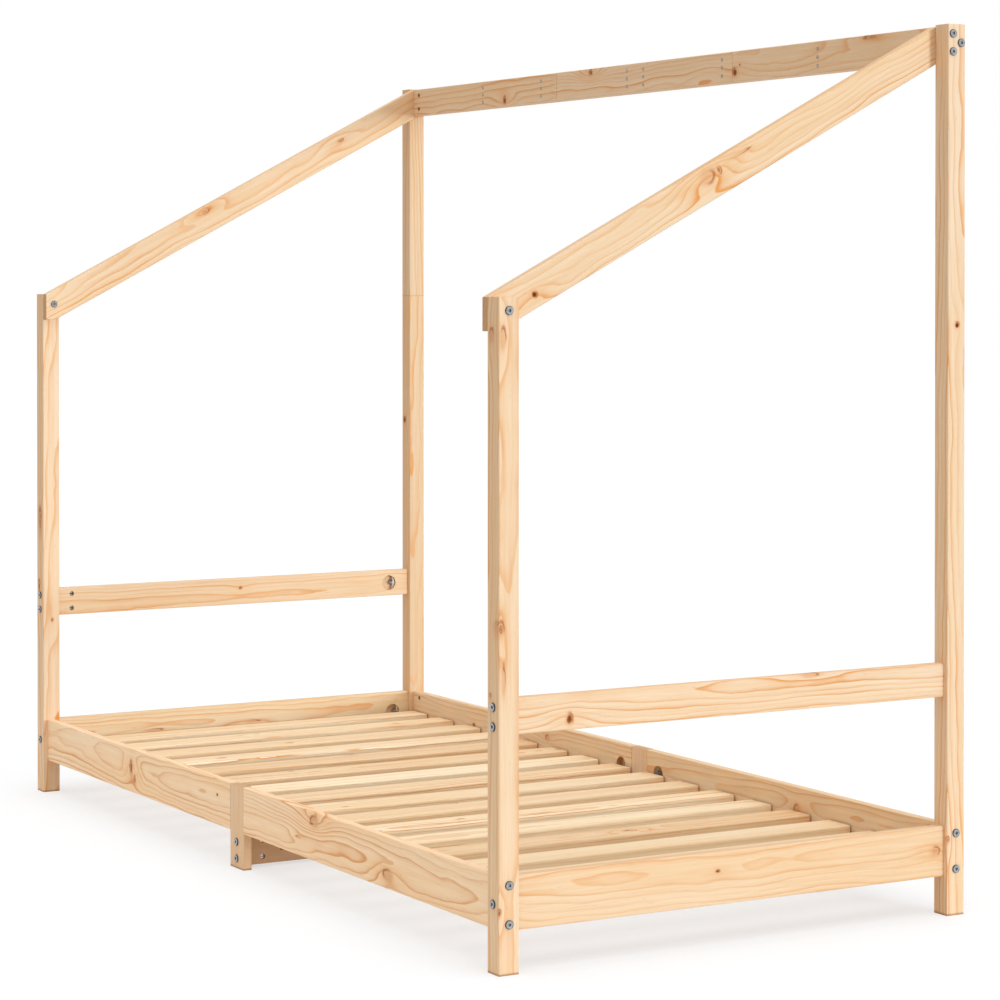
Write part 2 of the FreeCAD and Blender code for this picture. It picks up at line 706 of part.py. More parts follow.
# Barrel nut: lies on its own Z, with its thread across it along X.
barrel_solid = bar("barrel_solid", SHANK_FLATS, "barrel_diameter", "barrel_length", "-barrel_length / 2")
barrel_thread = bolt_way("barrel_thread", "bolt_size", "barrel_diameter", "-barrel_diameter / 2", RIGHT)
barrel_nut = cut("barrel_nut", barrel_solid, barrel_thread)

# Half-moon washer: the slice of a disc that fills the recess on the joint's side, with the bolt
# through it along X. Its Z points out of the recess.
WASHER_RADIUS = "(recess_diameter / 2 - washer_fit)"
WASHER_FLAT = f"({WASHER_RADIUS} - washer_thickness)"
washer_disc = doc.addObject("Part::Cylinder", "washer_disc")
washer_disc.setExpression("Radius", in_sheet(WASHER_RADIUS))
washer_disc.setExpression("Height", in_sheet("nut_flats"))
washer_disc.setExpression("Placement.Base.z", in_sheet("-nut_flats / 2"))
washer_slice = doc.addObject("Part::Box", "washer_slice")
washer_slice.setExpression("Length", in_sheet("washer_thickness"))
washer_slice.setExpression("Width", in_sheet(f"2 * {WASHER_RADIUS}"))
washer_slice.setExpression("Height", in_sheet("nut_flats"))
washer_slice.setExpression("Placement.Base.x", in_sheet(WASHER_FLAT))
washer_slice.setExpression("Placement.Base.y", in_sheet(f"-{WASHER_RADIUS}"))
washer_slice.setExpression("Placement.Base.z", in_sheet("-nut_flats / 2"))
washer_blank = doc.addObject("Part::Common", "washer_blank")
washer_blank.Base = washer_disc
washer_blank.Tool = washer_slice
washer_bore = bolt_way("washer_bore", "bolt_bore", f"2 * {WASHER_RADIUS}", "0", RIGHT)
half_moon = cut("half_moon", washer_blank, washer_bore)

# Hexagon nut: its thread lies along X, and it bears on the flat side of the half-moon washer.
NUT_BACK = f"{WASHER_FLAT} - nut_thickness"
nut_solid = bar("nut_solid", 6, f"nut_flats * {NUT_CORNERS}", "nut_thickness", NUT_BACK, RIGHT)
nut_thread = bolt_way("nut_thread", "bolt_size", f"2 * {WASHER_RADIUS}", "0", RIGHT)
hex_nut = cut("hex_nut", nut_solid, nut_thread)

# Sleeve nut: its flange lies on the surface, and the sleeve points up its own Z.
SLEEVE_RUN = "sleeve_length + flange_thickness"
sleeve_flange = bar("sleeve_flange", HEAD_FLATS, "head_diameter", "flange_thickness", "-flange_thickness")
sleeve_tube = bar("sleeve_tube", SHANK_FLATS, "sleeve_diameter", "sleeve_length")
sleeve_thread = bolt_way("sleeve_thread", "bolt_size", SLEEVE_RUN, "-flange_thickness")
sleeve_nut = cut("sleeve_nut", fuse("sleeve_blank", sleeve_flange, sleeve_tube), sleeve_thread)

dowel = bar("dowel", SHANK_FLATS, "dowel_diameter", "dowel_length", "-dowel_length / 2")

BARREL_RUN = "(barrel_diameter / 2 + bolt_run_out)"
NUT_RUN = f"(nut_thickness + washer_thickness + washer_fit + bolt_run_out - recess_diameter / 2)"
STUD_LENGTH = f"(leg_width + 2 * (recess_reach + {NUT_RUN}))"

rail_bolt = connector_bolt("rail_bolt", f"post_side + rail_nut_reach + {BARREL_RUN}")
guard_bolt = connector_bolt("guard_bolt", f"post_side + guard_nut_reach + {BARREL_RUN}")
beam_bolt = connector_bolt("beam_bolt", f"leg_thickness + beam_nut_reach + {BARREL_RUN}")
ridge_bolt = connector_bolt("ridge_bolt", f"post_side + ridge_nut_reach + {BARREL_RUN}")
end_bolt = connector_bolt("end_bolt", f"post_side + recess_reach + {NUT_RUN}")
guard_end_bolt = connector_bolt("guard_end_bolt", f"post_side + guard_recess_reach + {NUT_RUN}")
rafter_bolt = connector_bolt("rafter_bolt", "post_side + rafter_thickness - sleeve_length + sleeve_grip")
stud = bar("stud", SHANK_FLATS, "bolt_size", STUD_LENGTH, f"-{STUD_LENGTH} / 2")
doc.recompute()

# The bed repeats itself from the near end to the far end, and the rails also from left to right.
ENDS = [("-", FAR), ("", NEAR)]
SIDES = [("-", RIGHT), ("", LEFT)]
POST_LINE = "(bed_width / 2 - post_side / 2)"

rail_bolts = []
rail_nuts = []
for side, inward in SIDES:
    for end, direction in ENDS:
        for level in rail_bolt_levels:
            rail_bolts.append((rail_bolt, spot(side + POST_LINE, f"{end}bed_length / 2", level, direction)))
            nut_line = f"{end}({FAR_POST_FACE} - rail_nut_reach)"
            rail_nuts.append((barrel_nut, spot(side + POST_LINE, nut_line, level, inward, direction)))
group("side_rail_bolts", rail_bolts)
group("side_rail_barrel_nuts", rail_nuts)

# Recessed nuts: two in each side rail at the middle leg, two in each end rail, one in each guard rail.
recessed = []
for side, inward in SIDES:
    for end, direction in ENDS:
        line = f"{end}(leg_width / 2 + recess_reach)"
        recessed.append(spot(side + POST_LINE, line, RAIL_MIDDLE, inward, direction))
END_LINE = "(bed_length / 2 - post_side / 2)"
LEFT_POST_FACE = "(bed_width / 2 - post_side)"
for end, inward in ENDS:
    for side, direction in SIDES:
        line = f"{side}({LEFT_POST_FACE} - recess_reach)"
        recessed.append(spot(line, end + END_LINE, RAIL_MIDDLE, inward, direction * -1))
    line = f"({LEFT_POST_FACE} - guard_recess_reach)"
    recessed.append(spot(line, end + END_LINE, GUARD_MIDDLE, inward, RIGHT))
group("half_moon_washers", [(half_moon, where) for where in recessed])
group("hex_nuts", [(hex_nut, where) for where in recessed])

group("mid_leg_studs", [(stud, spot(side + POST_LINE, "0", RAIL_MIDDLE, FAR)) for side, _ in SIDES])

end_bolts = []
dowels = []
guard_bolts = []
guard_nuts = []
for end, inward in ENDS:
    for side, direction in SIDES:
        where = spot(f"{side}bed_width / 2", end + END_LINE, RAIL_MIDDLE, direction)
        end_bolts.append((end_bolt, where))
        for level in dowel_levels:
            dowels.append((dowel, spot(side + LEFT_POST_FACE, end + END_LINE, level, direction)))
    for level in guard_bolt_levels:
        guard_bolts.append((guard_bolt, spot("-bed_width / 2", end + END_LINE, level, RIGHT)))
        nut_line = f"-({LEFT_POST_FACE} - guard_nut_reach)"
        guard_nuts.append((barrel_nut, spot(nut_line, end + END_LINE, level, inward, RIGHT)))
    guard_bolts.append((guard_end_bolt, spot("bed_width / 2", end + END_LINE, GUARD_MIDDLE, LEFT)))
group("end_rail_bolts", end_bolts)
group("end_rail_dowels", dowels)
group("guard_rail_bolts", guard_bolts)
group("guard_rail_barrel_nuts", guard_nuts)

beam_bolts = []
beam_nuts = []
for side, direction in SIDES:
    for level in beam_bolt_levels:
        beam_bolts.append((beam_bolt, spot(f"{side}({LEG_FACE} + leg_thickness)", "0", level, direction)))
        nut_line = f"{side}({LEG_FACE} - beam_nut_reach)"
        beam_nuts.append((barrel_nut, spot(nut_line, "0", level, NEAR, direction)))
group("cross_beam_bolts", beam_bolts)
group("cross_beam_barrel_nuts", beam_nuts)

ridge_bolts = []
ridge_nuts = []
FRONT_LINE = f"({RIDGE_FACE} + ridge_thickness / 2)"
BACK_LINE = f"({RIDGE_BACK} - ridge_thickness / 2)"
for end, direction in ENDS:
    lines = [(FRONT_LINE, level, LEFT) for level in ridge_bolt_levels]
    lines += [(BACK_LINE, RIDGE_MIDDLE, RIGHT)]
    for line, level, open_side in lines:
        ridge_bolts.append((ridge_bolt, spot(line, f"{end}bed_length / 2", level, direction)))
        nut_line = f"{end}({FAR_POST_FACE} - ridge_nut_reach)"
        ridge_nuts.append((barrel_nut, spot(line, nut_line, level, open_side, direction)))
group("ridge_bolts", ridge_bolts)
group("ridge_barrel_nuts", ridge_nuts)

rafter_bolts = []
sleeve_nuts = []
for end, direction in ENDS:
    where = spot(f"-{POST_LINE}", f"{end}bed_length / 2", RAFTER_BOLT_LEVEL, direction)
    rafter_bolts.append((rafter_bolt, where))
    face = f"{end}({FAR_POST_FACE} - rafter_thickness)"
    sleeve_nuts.append((sleeve_nut, spot(f"-{POST_LINE}", face, RAFTER_BOLT_LEVEL, direction * -1)))
group("rafter_bolts", rafter_bolts)
group("rafter_sleeve_nuts", sleeve_nuts)

# ---------------------------------------------------------------- checks and files

doc.recompute()

for item in doc.Objects:
    if "Invalid" in item.State or "Error" in item.State:
        raise RuntimeError(f"{item.Label} did not build: {item.State}")

for feature in cuts:
    if feature.Shape.Volume > feature.BaseFeature.Shape.Volume - 1:
        raise RuntimeError(f"{feature.getParentGeoFeatureGroup().Label}: {feature.Label} cuts nothing")

for part in parts:
    if part.Shape.isNull() or not part.Shape.isValid():
        raise RuntimeError(f"{part.Label} has no valid shape")

os.makedirs("parts", exist_ok=True)
for part in parts:
    part.Shape.exportStep(f"parts/{part.Label}.step")
print(len(parts), "parts written")
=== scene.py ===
import math
import random

import bmesh
import bpy
from mathutils import Matrix, Vector


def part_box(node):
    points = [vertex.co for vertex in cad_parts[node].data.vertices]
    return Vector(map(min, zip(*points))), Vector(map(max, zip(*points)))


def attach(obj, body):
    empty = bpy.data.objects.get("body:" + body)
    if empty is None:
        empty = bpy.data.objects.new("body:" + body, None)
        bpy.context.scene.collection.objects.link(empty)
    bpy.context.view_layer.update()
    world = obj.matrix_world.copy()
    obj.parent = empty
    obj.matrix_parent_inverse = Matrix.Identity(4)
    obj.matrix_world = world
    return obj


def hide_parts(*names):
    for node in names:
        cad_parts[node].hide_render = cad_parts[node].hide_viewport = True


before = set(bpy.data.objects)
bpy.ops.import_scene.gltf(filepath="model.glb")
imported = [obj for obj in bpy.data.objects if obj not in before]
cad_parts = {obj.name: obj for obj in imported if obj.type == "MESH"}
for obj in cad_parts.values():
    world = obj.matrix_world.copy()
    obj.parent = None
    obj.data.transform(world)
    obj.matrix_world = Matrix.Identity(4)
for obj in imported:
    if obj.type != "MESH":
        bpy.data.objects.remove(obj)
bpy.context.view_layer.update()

# ------------------------------------------------------------------ posts
# Four square posts of planed pine with a clear lacquer: two low ones on the left, two tall ones on
# the right. Each is sawn from one plank, so its rings run on from the faces into the end grain.

MM = 0.001
X = Vector((1, 0, 0))
Y = Vector((0, 1, 0))
Z = Vector((0, 0, 1))

# pale early wood of four planks, where ROSY and BUTTER are also made paler as painted light on the side
# rails, orange late wood, and the browns of a knot
HONEY = (0.830, 0.618, 0.417)
AMBER = (0.805, 0.585, 0.375)
BUTTER = (0.850, 0.665, 0.455)
ROSY = (0.990, 0.752, 0.515)
LATE_WOOD = (0.740, 0.325, 0.095)
KNOT_WOOD = (0.680, 0.330, 0.145)
KNOT_RIM = (0.400, 0.125, 0.034)
KNOT_DARK = (0.105, 0.022, 0.006)

# tints that a board's colour is multiplied by
BAND_TINT = (1.0, 0.93, 0.82)
STREAK_TINT = (0.93, 0.80, 0.66)
FIBRE_TINT = (0.90, 0.84, 0.76)
HALO_TINT = (0.98, 0.84, 0.70)
# painted contact shade at the bottom of a foot
FOOT_SHADE_TINT = (0.50, 0.36, 0.26)
END_TINT = (0.74, 0.64, 0.54)

RESIN_FLECK = (0.45, 0.20, 0.08)
LACQUER_IOR = 1.46
LACQUER_SHINE = 0.15
BUMP_STRENGTH = 0.2
GRAIN_HEIGHT = 0.3 * MM
FINGER_PITCH = 7 * MM


def feed(tree, socket, source):
    """Link a socket to another one, or set it to a plain value."""
    if isinstance(source, bpy.types.NodeSocket):
        tree.links.new(source, socket)
    else:
        socket.default_value = source


def calc(tree, operation, *values):
    node = tree.nodes.new("ShaderNodeMath")
    node.operation = operation
    for socket, source in zip(node.inputs, values):
        feed(tree, socket, source)
    return node.outputs[0]


def vector_calc(tree, operation, *values, scale=None):
    node = tree.nodes.new("ShaderNodeVectorMath")
    node.operation = operation
    for socket, source in zip(node.inputs, values):
        feed(tree, socket, source)
    if scale is not None:
        feed(tree, node.inputs["Scale"], scale)
    return node.outputs["Value" if operation in ("LENGTH", "DOT_PRODUCT") else "Vector"]


def noise(tree, place, stretch, detail=2.0, roughness=0.5):
    """Noise from 0 to 1. The stretch says how many times per metre it changes each way."""
    node = tree.nodes.new("ShaderNodeTexNoise")
    node.inputs["Scale"].default_value = 1.0
    node.inputs["Detail"].default_value = detail
    node.inputs["Roughness"].default_value = roughness
    feed(tree, node.inputs["Vector"], vector_calc(tree, "MULTIPLY", place, stretch))
    return node.outputs["Fac"]


def ease(tree, value, low, high, start=0.0, end=1.0):
    """Smooth change from start to end while the value goes from low to high."""
    node = tree.nodes.new("ShaderNodeMapRange")
    node.interpolation_type = "SMOOTHSTEP"
    for name, number in (("From Min", low), ("From Max", high), ("To Min", start), ("To Max", end)):
        node.inputs[name].default_value = number
    feed(tree, node.inputs["Value"], value)
    return node.outputs["Result"]


def blend(tree, share, first, second, mode="MIX"):
    node = tree.nodes.new("ShaderNodeMix")
    node.data_type = "RGBA"
    node.blend_type = mode
    feed(tree, node.inputs["Factor"], share)
    for socket, source in ((node.inputs["A"], first), (node.inputs["B"], second)):
        feed(tree, socket, source if isinstance(source, bpy.types.NodeSocket) else (*source, 1.0))
    return node.outputs["Result"]


def new_group(name, inputs, outputs):
    """Node group with named sockets. Inputs are (name, kind, default)."""
    tree = bpy.data.node_groups.new(name, "ShaderNodeTree")
    for socket, kind, default in inputs:
        made = tree.interface.new_socket(socket, in_out="INPUT", socket_type=f"NodeSocket{kind}")
        if default is not None:
            made.default_value = default
    for socket, kind in outputs:
        tree.interface.new_socket(socket, in_out="OUTPUT", socket_type=f"NodeSocket{kind}")
    return tree, tree.nodes.new("NodeGroupInput").outputs, tree.nodes.new("NodeGroupOutput").inputs


def use_group(tree, group, **sources):
    node = tree.nodes.new("ShaderNodeGroup")
    node.node_tree = group
    for name, source in sources.items():
        feed(tree, node.inputs[name.replace("_", " ")], source)
    return node.outputs


def build_knot_group():
    """One branch through the board. The rings bend round it, and its rim and heart are dark."""
    tree, given, out = new_group(
        "knot",
        [("Place", "Vector", None), ("Centre", "Vector", None), ("Size", "Vector", None),
         ("Lift", "Float", 0.0), ("Heart", "Float", 0.0), ("Lift so far", "Float", 0.0),
         ("Body so far", "Float", 0.0), ("Dark so far", "Float", 0.0)],
        [("Lift", "Float"), ("Body", "Float"), ("Dark", "Float")],
    )
    wobble = noise(tree, given["Place"], (50, 80, 80), detail=2.0)
    offset = vector_calc(tree, "SUBTRACT", given["Place"], given["Centre"])
    within = vector_calc(tree, "DIVIDE", offset, given["Size"])
    reach = vector_calc(tree, "LENGTH", within)
    edge = calc(tree, "ADD", reach, calc(tree, "MULTIPLY", calc(tree, "SUBTRACT", wobble, 0.5), 0.8))
    body = calc(tree, "POWER", ease(tree, edge, 0.6, 2.2, 1.0, 0.0), 1.6)
    # bark is left along one side of the rim only
    lee = ease(tree, vector_calc(tree, "DOT_PRODUCT", within, (0.8, 0.5, 0.0)), -0.7, 0.9)
    rim = calc(tree, "MULTIPLY", ease(tree, edge, 0.5, 0.95), ease(tree, edge, 0.95, 1.45, 1.0, 0.0))
    rim = calc(tree, "MULTIPLY", rim, lee)
    heart = calc(tree, "MULTIPLY", ease(tree, edge, 0.3, 1.0, 1.0, 0.0), given["Heart"])
    # faint rings of the branch itself
    ring = calc(tree, "MULTIPLY", calc(tree, "SINE", calc(tree, "MULTIPLY", edge, 17.0)), 0.07)
    ring = calc(tree, "MULTIPLY", ring, body)
    dark = calc(tree, "ADD", calc(tree, "MAXIMUM", calc(tree, "MULTIPLY", rim, 0.4), heart), ring)
    # the rings part well ahead of the knot and close up behind it
    wide = vector_calc(tree, "MULTIPLY", given["Size"], (3.0, 1.6, 1.6))
    wide = vector_calc(tree, "ADD", wide, (26 * MM, 7 * MM, 7 * MM))
    around = vector_calc(tree, "LENGTH", vector_calc(tree, "DIVIDE", offset, wide))
    fall = calc(tree, "POWER", math.e, calc(tree, "MULTIPLY", calc(tree, "POWER", around, 2.0), -1.0))
    lift = calc(tree, "MULTIPLY", fall, given["Lift"])
    feed(tree, out["Lift"], calc(tree, "ADD", lift, given["Lift so far"]))
    feed(tree, out["Body"], calc(tree, "MAXIMUM", body, given["Body so far"]))
    feed(tree, out["Dark"], calc(tree, "MAXIMUM", dark, given["Dark so far"]))
    return tree


def build_joint_group():
    """Glued joint: past it the board is another piece of wood. Where the fingers lie in the face
    they show, with a dark dash at each tip. Where they are sawn from the side, only a line shows."""
    tree, given, out = new_group(
        "finger joint",
        [("Place", "Vector", None), ("At", "Float", 0.0), ("Length", "Float", 0.0),
         ("Shift so far", "Vector", (0.0, 0.0, 0.0)), ("Line so far", "Float", 0.0)],
        [("Shift", "Vector"), ("Line", "Float")],
    )
    split = tree.nodes.new("ShaderNodeSeparateXYZ")
    feed(tree, split.inputs[0], given["Place"])
    along = calc(tree, "SUBTRACT", split.outputs["X"], given["At"])
    half_pitch = FINGER_PITCH / 2
    finger = calc(tree, "DIVIDE", calc(tree, "PINGPONG", split.outputs["Y"], half_pitch), half_pitch)
    from_middle = calc(tree, "MULTIPLY", calc(tree, "SUBTRACT", finger, 0.5), given["Length"])
    past = calc(tree, "ADD", along, from_middle)
    side = calc(tree, "GREATER_THAN", past, 0.0)
    shift = vector_calc(tree, "SCALE", (1.7, 0.031, 0.022), scale=side)
    glue = ease(tree, calc(tree, "ABSOLUTE", past), 0.5 * MM, 2.5 * MM, 0.3, 0.0)
    # dark dashes at the tips of one board's fingers
    half = calc(tree, "MULTIPLY", given["Length"], 0.5)
    from_tips = calc(tree, "ABSOLUTE", calc(tree, "ADD", along, half))
    tips = ease(tree, from_tips, 1.0 * MM, 2.6 * MM, 1.0, 0.0)
    tips = calc(tree, "MULTIPLY", tips, ease(tree, finger, 0.5, 0.8))
    tips = calc(tree, "MULTIPLY", tips, calc(tree, "GREATER_THAN", half, 1 * MM))
    line = calc(tree, "MAXIMUM", glue, tips)
    feed(tree, out["Shift"], vector_calc(tree, "ADD", given["Shift so far"], shift))
    feed(tree, out["Line"], calc(tree, "MAXIMUM", line, given["Line so far"]))
    return tree


def build_pine_group():
    """Sawn pine from its rings, fibres and resin flecks. X of the place runs along the grain."""
    tree, given, out = new_group(
        "pine",
        [("Place", "Vector", None), ("Seed", "Float", 0.0), ("Pith", "Vector", None),
         ("Ring width", "Float", 5 * MM), ("Wander", "Float", 16 * MM), ("Contrast", "Float", 0.6),
         ("Lift", "Float", 0.0), ("Body", "Float", 0.0), ("Dark", "Float", 0.0),
         ("Line", "Float", 0.0), ("End", "Float", 0.0), ("Pale", "Color", None)],
        [("Color", "Color"), ("Roughness", "Float"), ("Height", "Float")],
    )
    seeded = vector_calc(tree, "SCALE", (3.1, 1.7, 2.3), scale=given["Seed"])
    place = vector_calc(tree, "ADD", given["Place"], seeded)

    # distance from the pith, which drifts along the board
    pith_line = vector_calc(tree, "MULTIPLY", given["Pith"], (0, 1, 1))
    offset = vector_calc(tree, "SUBTRACT", given["Place"], pith_line)
    tilt = tree.nodes.new("ShaderNodeSeparateXYZ")
    feed(tree, tilt.inputs[0], given["Pith"])
    split = tree.nodes.new("ShaderNodeSeparateXYZ")
    feed(tree, split.inputs[0], offset)
    drift = calc(tree, "MULTIPLY", split.outputs["X"], tilt.outputs["X"])
    across = calc(tree, "ADD", split.outputs["Y"], calc(tree, "MULTIPLY", drift, 0.4))
    across = calc(tree, "POWER", across, 2.0)
    through = calc(tree, "POWER", calc(tree, "ADD", split.outputs["Z"], drift), 2.0)
    radius = calc(tree, "SQRT", calc(tree, "ADD", across, through))
    slow = calc(tree, "SUBTRACT", noise(tree, place, (2.6, 9, 9), detail=1.0), 0.5)
    swing = calc(tree, "SUBTRACT", noise(tree, place, (7, 17, 17), detail=1.0), 0.5)
    quick = calc(tree, "SUBTRACT", noise(tree, place, (19, 60, 60), detail=1.0), 0.5)
    swing_reach = calc(tree, "MULTIPLY", given["Wander"], 0.55)
    radius = calc(tree, "ADD", radius, calc(tree, "MULTIPLY", slow, given["Wander"]))
    radius = calc(tree, "ADD", radius, calc(tree, "MULTIPLY", swing, swing_reach))
    radius = calc(tree, "ADD", radius, calc(tree, "MULTIPLY", quick, 3.0 * MM))
    radius = calc(tree, "ADD", radius, given["Lift"])

    # late wood at the end of each year's ring, of a strength that changes from year to year
    years = calc(tree, "DIVIDE", radius, given["Ring width"])
    year = tree.nodes.new("ShaderNodeTexWhiteNoise")
    year.noise_dimensions = "1D"
    feed(tree, year.inputs["W"], calc(tree, "ADD", calc(tree, "FLOOR", years), given["Seed"]))
    strength = ease(tree, year.outputs["Value"], 0.0, 1.0, 0.3, 1.0)
    season = calc(tree, "FRACT", years)
    band = ease(tree, season, 0.2, 0.9, 0.0, 0.45)
    crisp = ease(tree, season, 0.66, 0.93, 0.0, 0.75)
    winter = ease(tree, season, 0.94, 1.0, 1.0, 0.0)
    late = calc(tree, "MULTIPLY", calc(tree, "ADD", band, crisp), winter)
    late = calc(tree, "MULTIPLY", late, strength)
    patch = ease(tree, noise(tree, place, (4, 16, 16), detail=1.0), 0.35, 0.65, 0.6, 1.0)
    late = calc(tree, "MULTIPLY", calc(tree, "MULTIPLY", late, patch), given["Contrast"])

    fibre = noise(tree, place, (16, 700, 700), detail=2.0, roughness=0.6)
    streak = noise(tree, place, (3.0, 110, 110), detail=2.0)
    plank_band = noise(tree, place, (1.6, 14, 14), detail=1.0)
    fleck = ease(tree, noise(tree, place, (60, 520, 520), detail=0.0), 0.76, 0.84, 0.0, 0.22)

    colour = blend(tree, late, given["Pale"], LATE_WOOD)
    colour = blend(tree, ease(tree, plank_band, 0.3, 0.7, 0.0, 0.65), colour, BAND_TINT, "MULTIPLY")
    colour = blend(tree, ease(tree, streak, 0.35, 0.75, 0.0, 0.42), colour, STREAK_TINT, "MULTIPLY")
    colour = blend(tree, ease(tree, fibre, 0.3, 0.7, 0.0, 0.45), colour, FIBRE_TINT, "MULTIPLY")
    colour = blend(tree, fleck, colour, RESIN_FLECK)
    # reddish halo where the grain lifts, then the knot itself
    halo = ease(tree, given["Lift"], 2 * MM, 12 * MM, 0.0, 0.45)
    colour = blend(tree, halo, colour, HALO_TINT, "MULTIPLY")
    colour = blend(tree, calc(tree, "MULTIPLY", given["Body"], 0.62), colour, KNOT_WOOD)
    colour = blend(tree, ease(tree, given["Dark"], 0.05, 0.5), colour, KNOT_RIM)
    colour = blend(tree, ease(tree, given["Dark"], 0.45, 1.0, 0.0, 0.9), colour, KNOT_DARK)
    colour = blend(tree, calc(tree, "MULTIPLY", given["Line"], 0.75), colour, KNOT_RIM)
    colour = blend(tree, given["End"], colour, END_TINT, "MULTIPLY")
    feed(tree, out["Color"], colour)

    shine = calc(tree, "SUBTRACT", 0.52, calc(tree, "MULTIPLY", late, 0.10))
    feed(tree, out["Roughness"], calc(tree, "ADD", shine, calc(tree, "MULTIPLY", fibre, 0.08)))
    grain = calc(tree, "ADD", calc(tree, "MULTIPLY", late, 0.8), calc(tree, "MULTIPLY", fibre, 0.5))
    feed(tree, out["Height"], calc(tree, "SUBTRACT", grain, calc(tree, "MULTIPLY", given["Line"], 0.5)))
    return tree


knot_group = build_knot_group()
joint_group = build_joint_group()
pine_group = build_pine_group()


def pine(node, along, across, pale, pith, ring, seed, wander=16.0, contrast=0.6, knots=(), joints=()):
    """Finish a board. Sizes are in mm: the pith as (slope, across, through) from the board's middle,
    knots as (point, half sizes along, across and through the board, lift, heart), and glued joints
    as (distance along the grain from the middle, length of the fingers)."""
    low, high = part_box(node)
    middle = (low + high) / 2
    turn = Matrix((along, across, along.cross(across))).transposed()

    material = bpy.data.materials.new(f"pine_{node}")
    material.use_nodes = True
    tree = material.node_tree
    shader = tree.nodes["Principled BSDF"]
    shader.inputs["IOR"].default_value = LACQUER_IOR
    shader.inputs["Specular IOR Level"].default_value = LACQUER_SHINE
    whole = tree.nodes.new("ShaderNodeTexCoord").outputs["Object"]

    board = tree.nodes.new("ShaderNodeMapping")
    board.vector_type = "TEXTURE"
    board.inputs["Location"].default_value = middle
    board.inputs["Rotation"].default_value = turn.to_euler()
    feed(tree, board.inputs["Vector"], whole)
    facing = tree.nodes.new("ShaderNodeNewGeometry").outputs["Normal"]
    end = calc(tree, "ABSOLUTE", vector_calc(tree, "DOT_PRODUCT", facing, tuple(along)))

    place = board.outputs["Vector"]
    lift = body = dark = line = 0.0
    shift = (0.0, 0.0, 0.0)
    for point, half_sizes, rise, heart in knots:
        centre = turn.transposed() @ (Vector(point) * MM - middle)
        made = use_group(tree, knot_group, Place=place, Centre=centre, Size=Vector(half_sizes) * MM,
                         Lift=rise * MM, Heart=heart, Lift_so_far=lift, Body_so_far=body, Dark_so_far=dark)
        lift = made["Lift"]
        body = made["Body"]
        dark = made["Dark"]
    for at, length in joints:
        made = use_group(tree, joint_group, Place=place, At=at * MM, Length=length * MM, Shift_so_far=shift,
                         Line_so_far=line)
        shift = made["Shift"]
        line = made["Line"]
    wood = use_group(tree, pine_group, Place=vector_calc(tree, "ADD", place, shift), Seed=seed,
                     Pith=(pith[0], pith[1] * MM, pith[2] * MM), Ring_width=ring * MM, Wander=wander * MM,
                     Contrast=contrast, Lift=lift, Body=body, Dark=dark, Line=line,
                     End=ease(tree, end, 0.55, 0.85), Pale=(*pale, 1.0))
    # painted contact shade darkens a foot along its bottom edge
    level = tree.nodes.new("ShaderNodeSeparateXYZ")
    feed(tree, level.inputs[0], whole)
    foot_shade = ease(tree, level.outputs["Z"], 1.5 * MM, 5 * MM, 0.8, 0.0)
    feed(tree, shader.inputs["Base Color"], blend(tree, foot_shade, wood["Color"], FOOT_SHADE_TINT, "MULTIPLY"))
    feed(tree, shader.inputs["Roughness"], wood["Roughness"])
    bump = tree.nodes.new("ShaderNodeBump")
    bump.inputs["Strength"].default_value = BUMP_STRENGTH
    bump.inputs["Distance"].default_value = GRAIN_HEIGHT
    feed(tree, bump.inputs["Height"], wood["Height"])
    feed(tree, shader.inputs["Normal"], bump.outputs["Normal"])

    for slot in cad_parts[node].material_slots:
        slot.material = material


pine("low_post_near", Z, X, HONEY, pith=(0.012, -3, 26), ring=9, seed=1, wander=16, contrast=0.75,
     knots=[((-476, -1029, 565), (14, 6, 16), 9, 0.35), ((-480, -1004, 1043), (12, 9, 7), 9, 0.1),
            ((-472, -1029, 1040), (16, 5, 6), 8, 0.0), ((-480, -1001, 454), (5, 6, 4), 5, 0.3),
            ((-479, -1029, 103), (7, 3, 5), 5, 0.4), ((-471, -1029, 482), (24, 3, 4), 4, 0.0)])
pine("low_post_far", Z, X, HONEY, pith=(-0.03, 18, 30), ring=8, seed=2, contrast=0.85,
     knots=[((-460, 991, 381), (5, 3, 8), 4, 0.5), ((-480, 1010, 600), (30, 6, 10), 8, 0.3),
            ((-480, 1016, 455), (16, 6, 6), 6, 0.5)])
pine("tall_post_near", Z, X, HONEY, pith=(0.015, 30, 44), ring=7, seed=3, wander=14, contrast=0.85,
     knots=[((462, -1029, 1053), (6, 5, 8), 6, 1.0), ((444, -1029, 136), (6, 3, 8), 4, 0.3)])
pine("tall_post_far", Z, X, (0.755, 0.550, 0.355), pith=(0.03, -20, 34), ring=8, seed=4, contrast=0.9,
     knots=[((442, 1017, 804), (9, 9, 7), 9, 0.9)],
     joints=[(306, 0)])

# ------------------------------------------------------------------ side rails
# Each long side is two pine boards on edge that meet at the middle leg. Two bolts pull each board
# to its post, and a stud through the leg pulls the two boards together.

# the left rails' ROSY is partly painted light: paler to stand in for the light that falls near the floor
pine("side_rail_left_near", Y, Z, ROSY, pith=(0.03, -8, 22), ring=7.5, seed=5, wander=30, contrast=0.9,
     knots=[((-470, -334, 143), (16, 10, 40), 24, 0.05), ((-470, -325, 137), (9, 2.5, 40), 0, 0.6),
            ((-470, -622, 95), (16, 9, 40), 14, 0.05), ((-470, -268, 104), (9, 2, 40), 6, 0.0)])
pine("side_rail_left_far", Y, Z, ROSY, pith=(-0.025, 14, 26), ring=7.5, seed=6, wander=24, contrast=0.9,
     knots=[((-470, 519, 120), (8, 14, 40), 20, 0.5), ((-470, 500, 98), (5, 9, 40), 5, 0.35),
            ((-470, 90, 128), (4, 3, 40), 5, 0.9)])
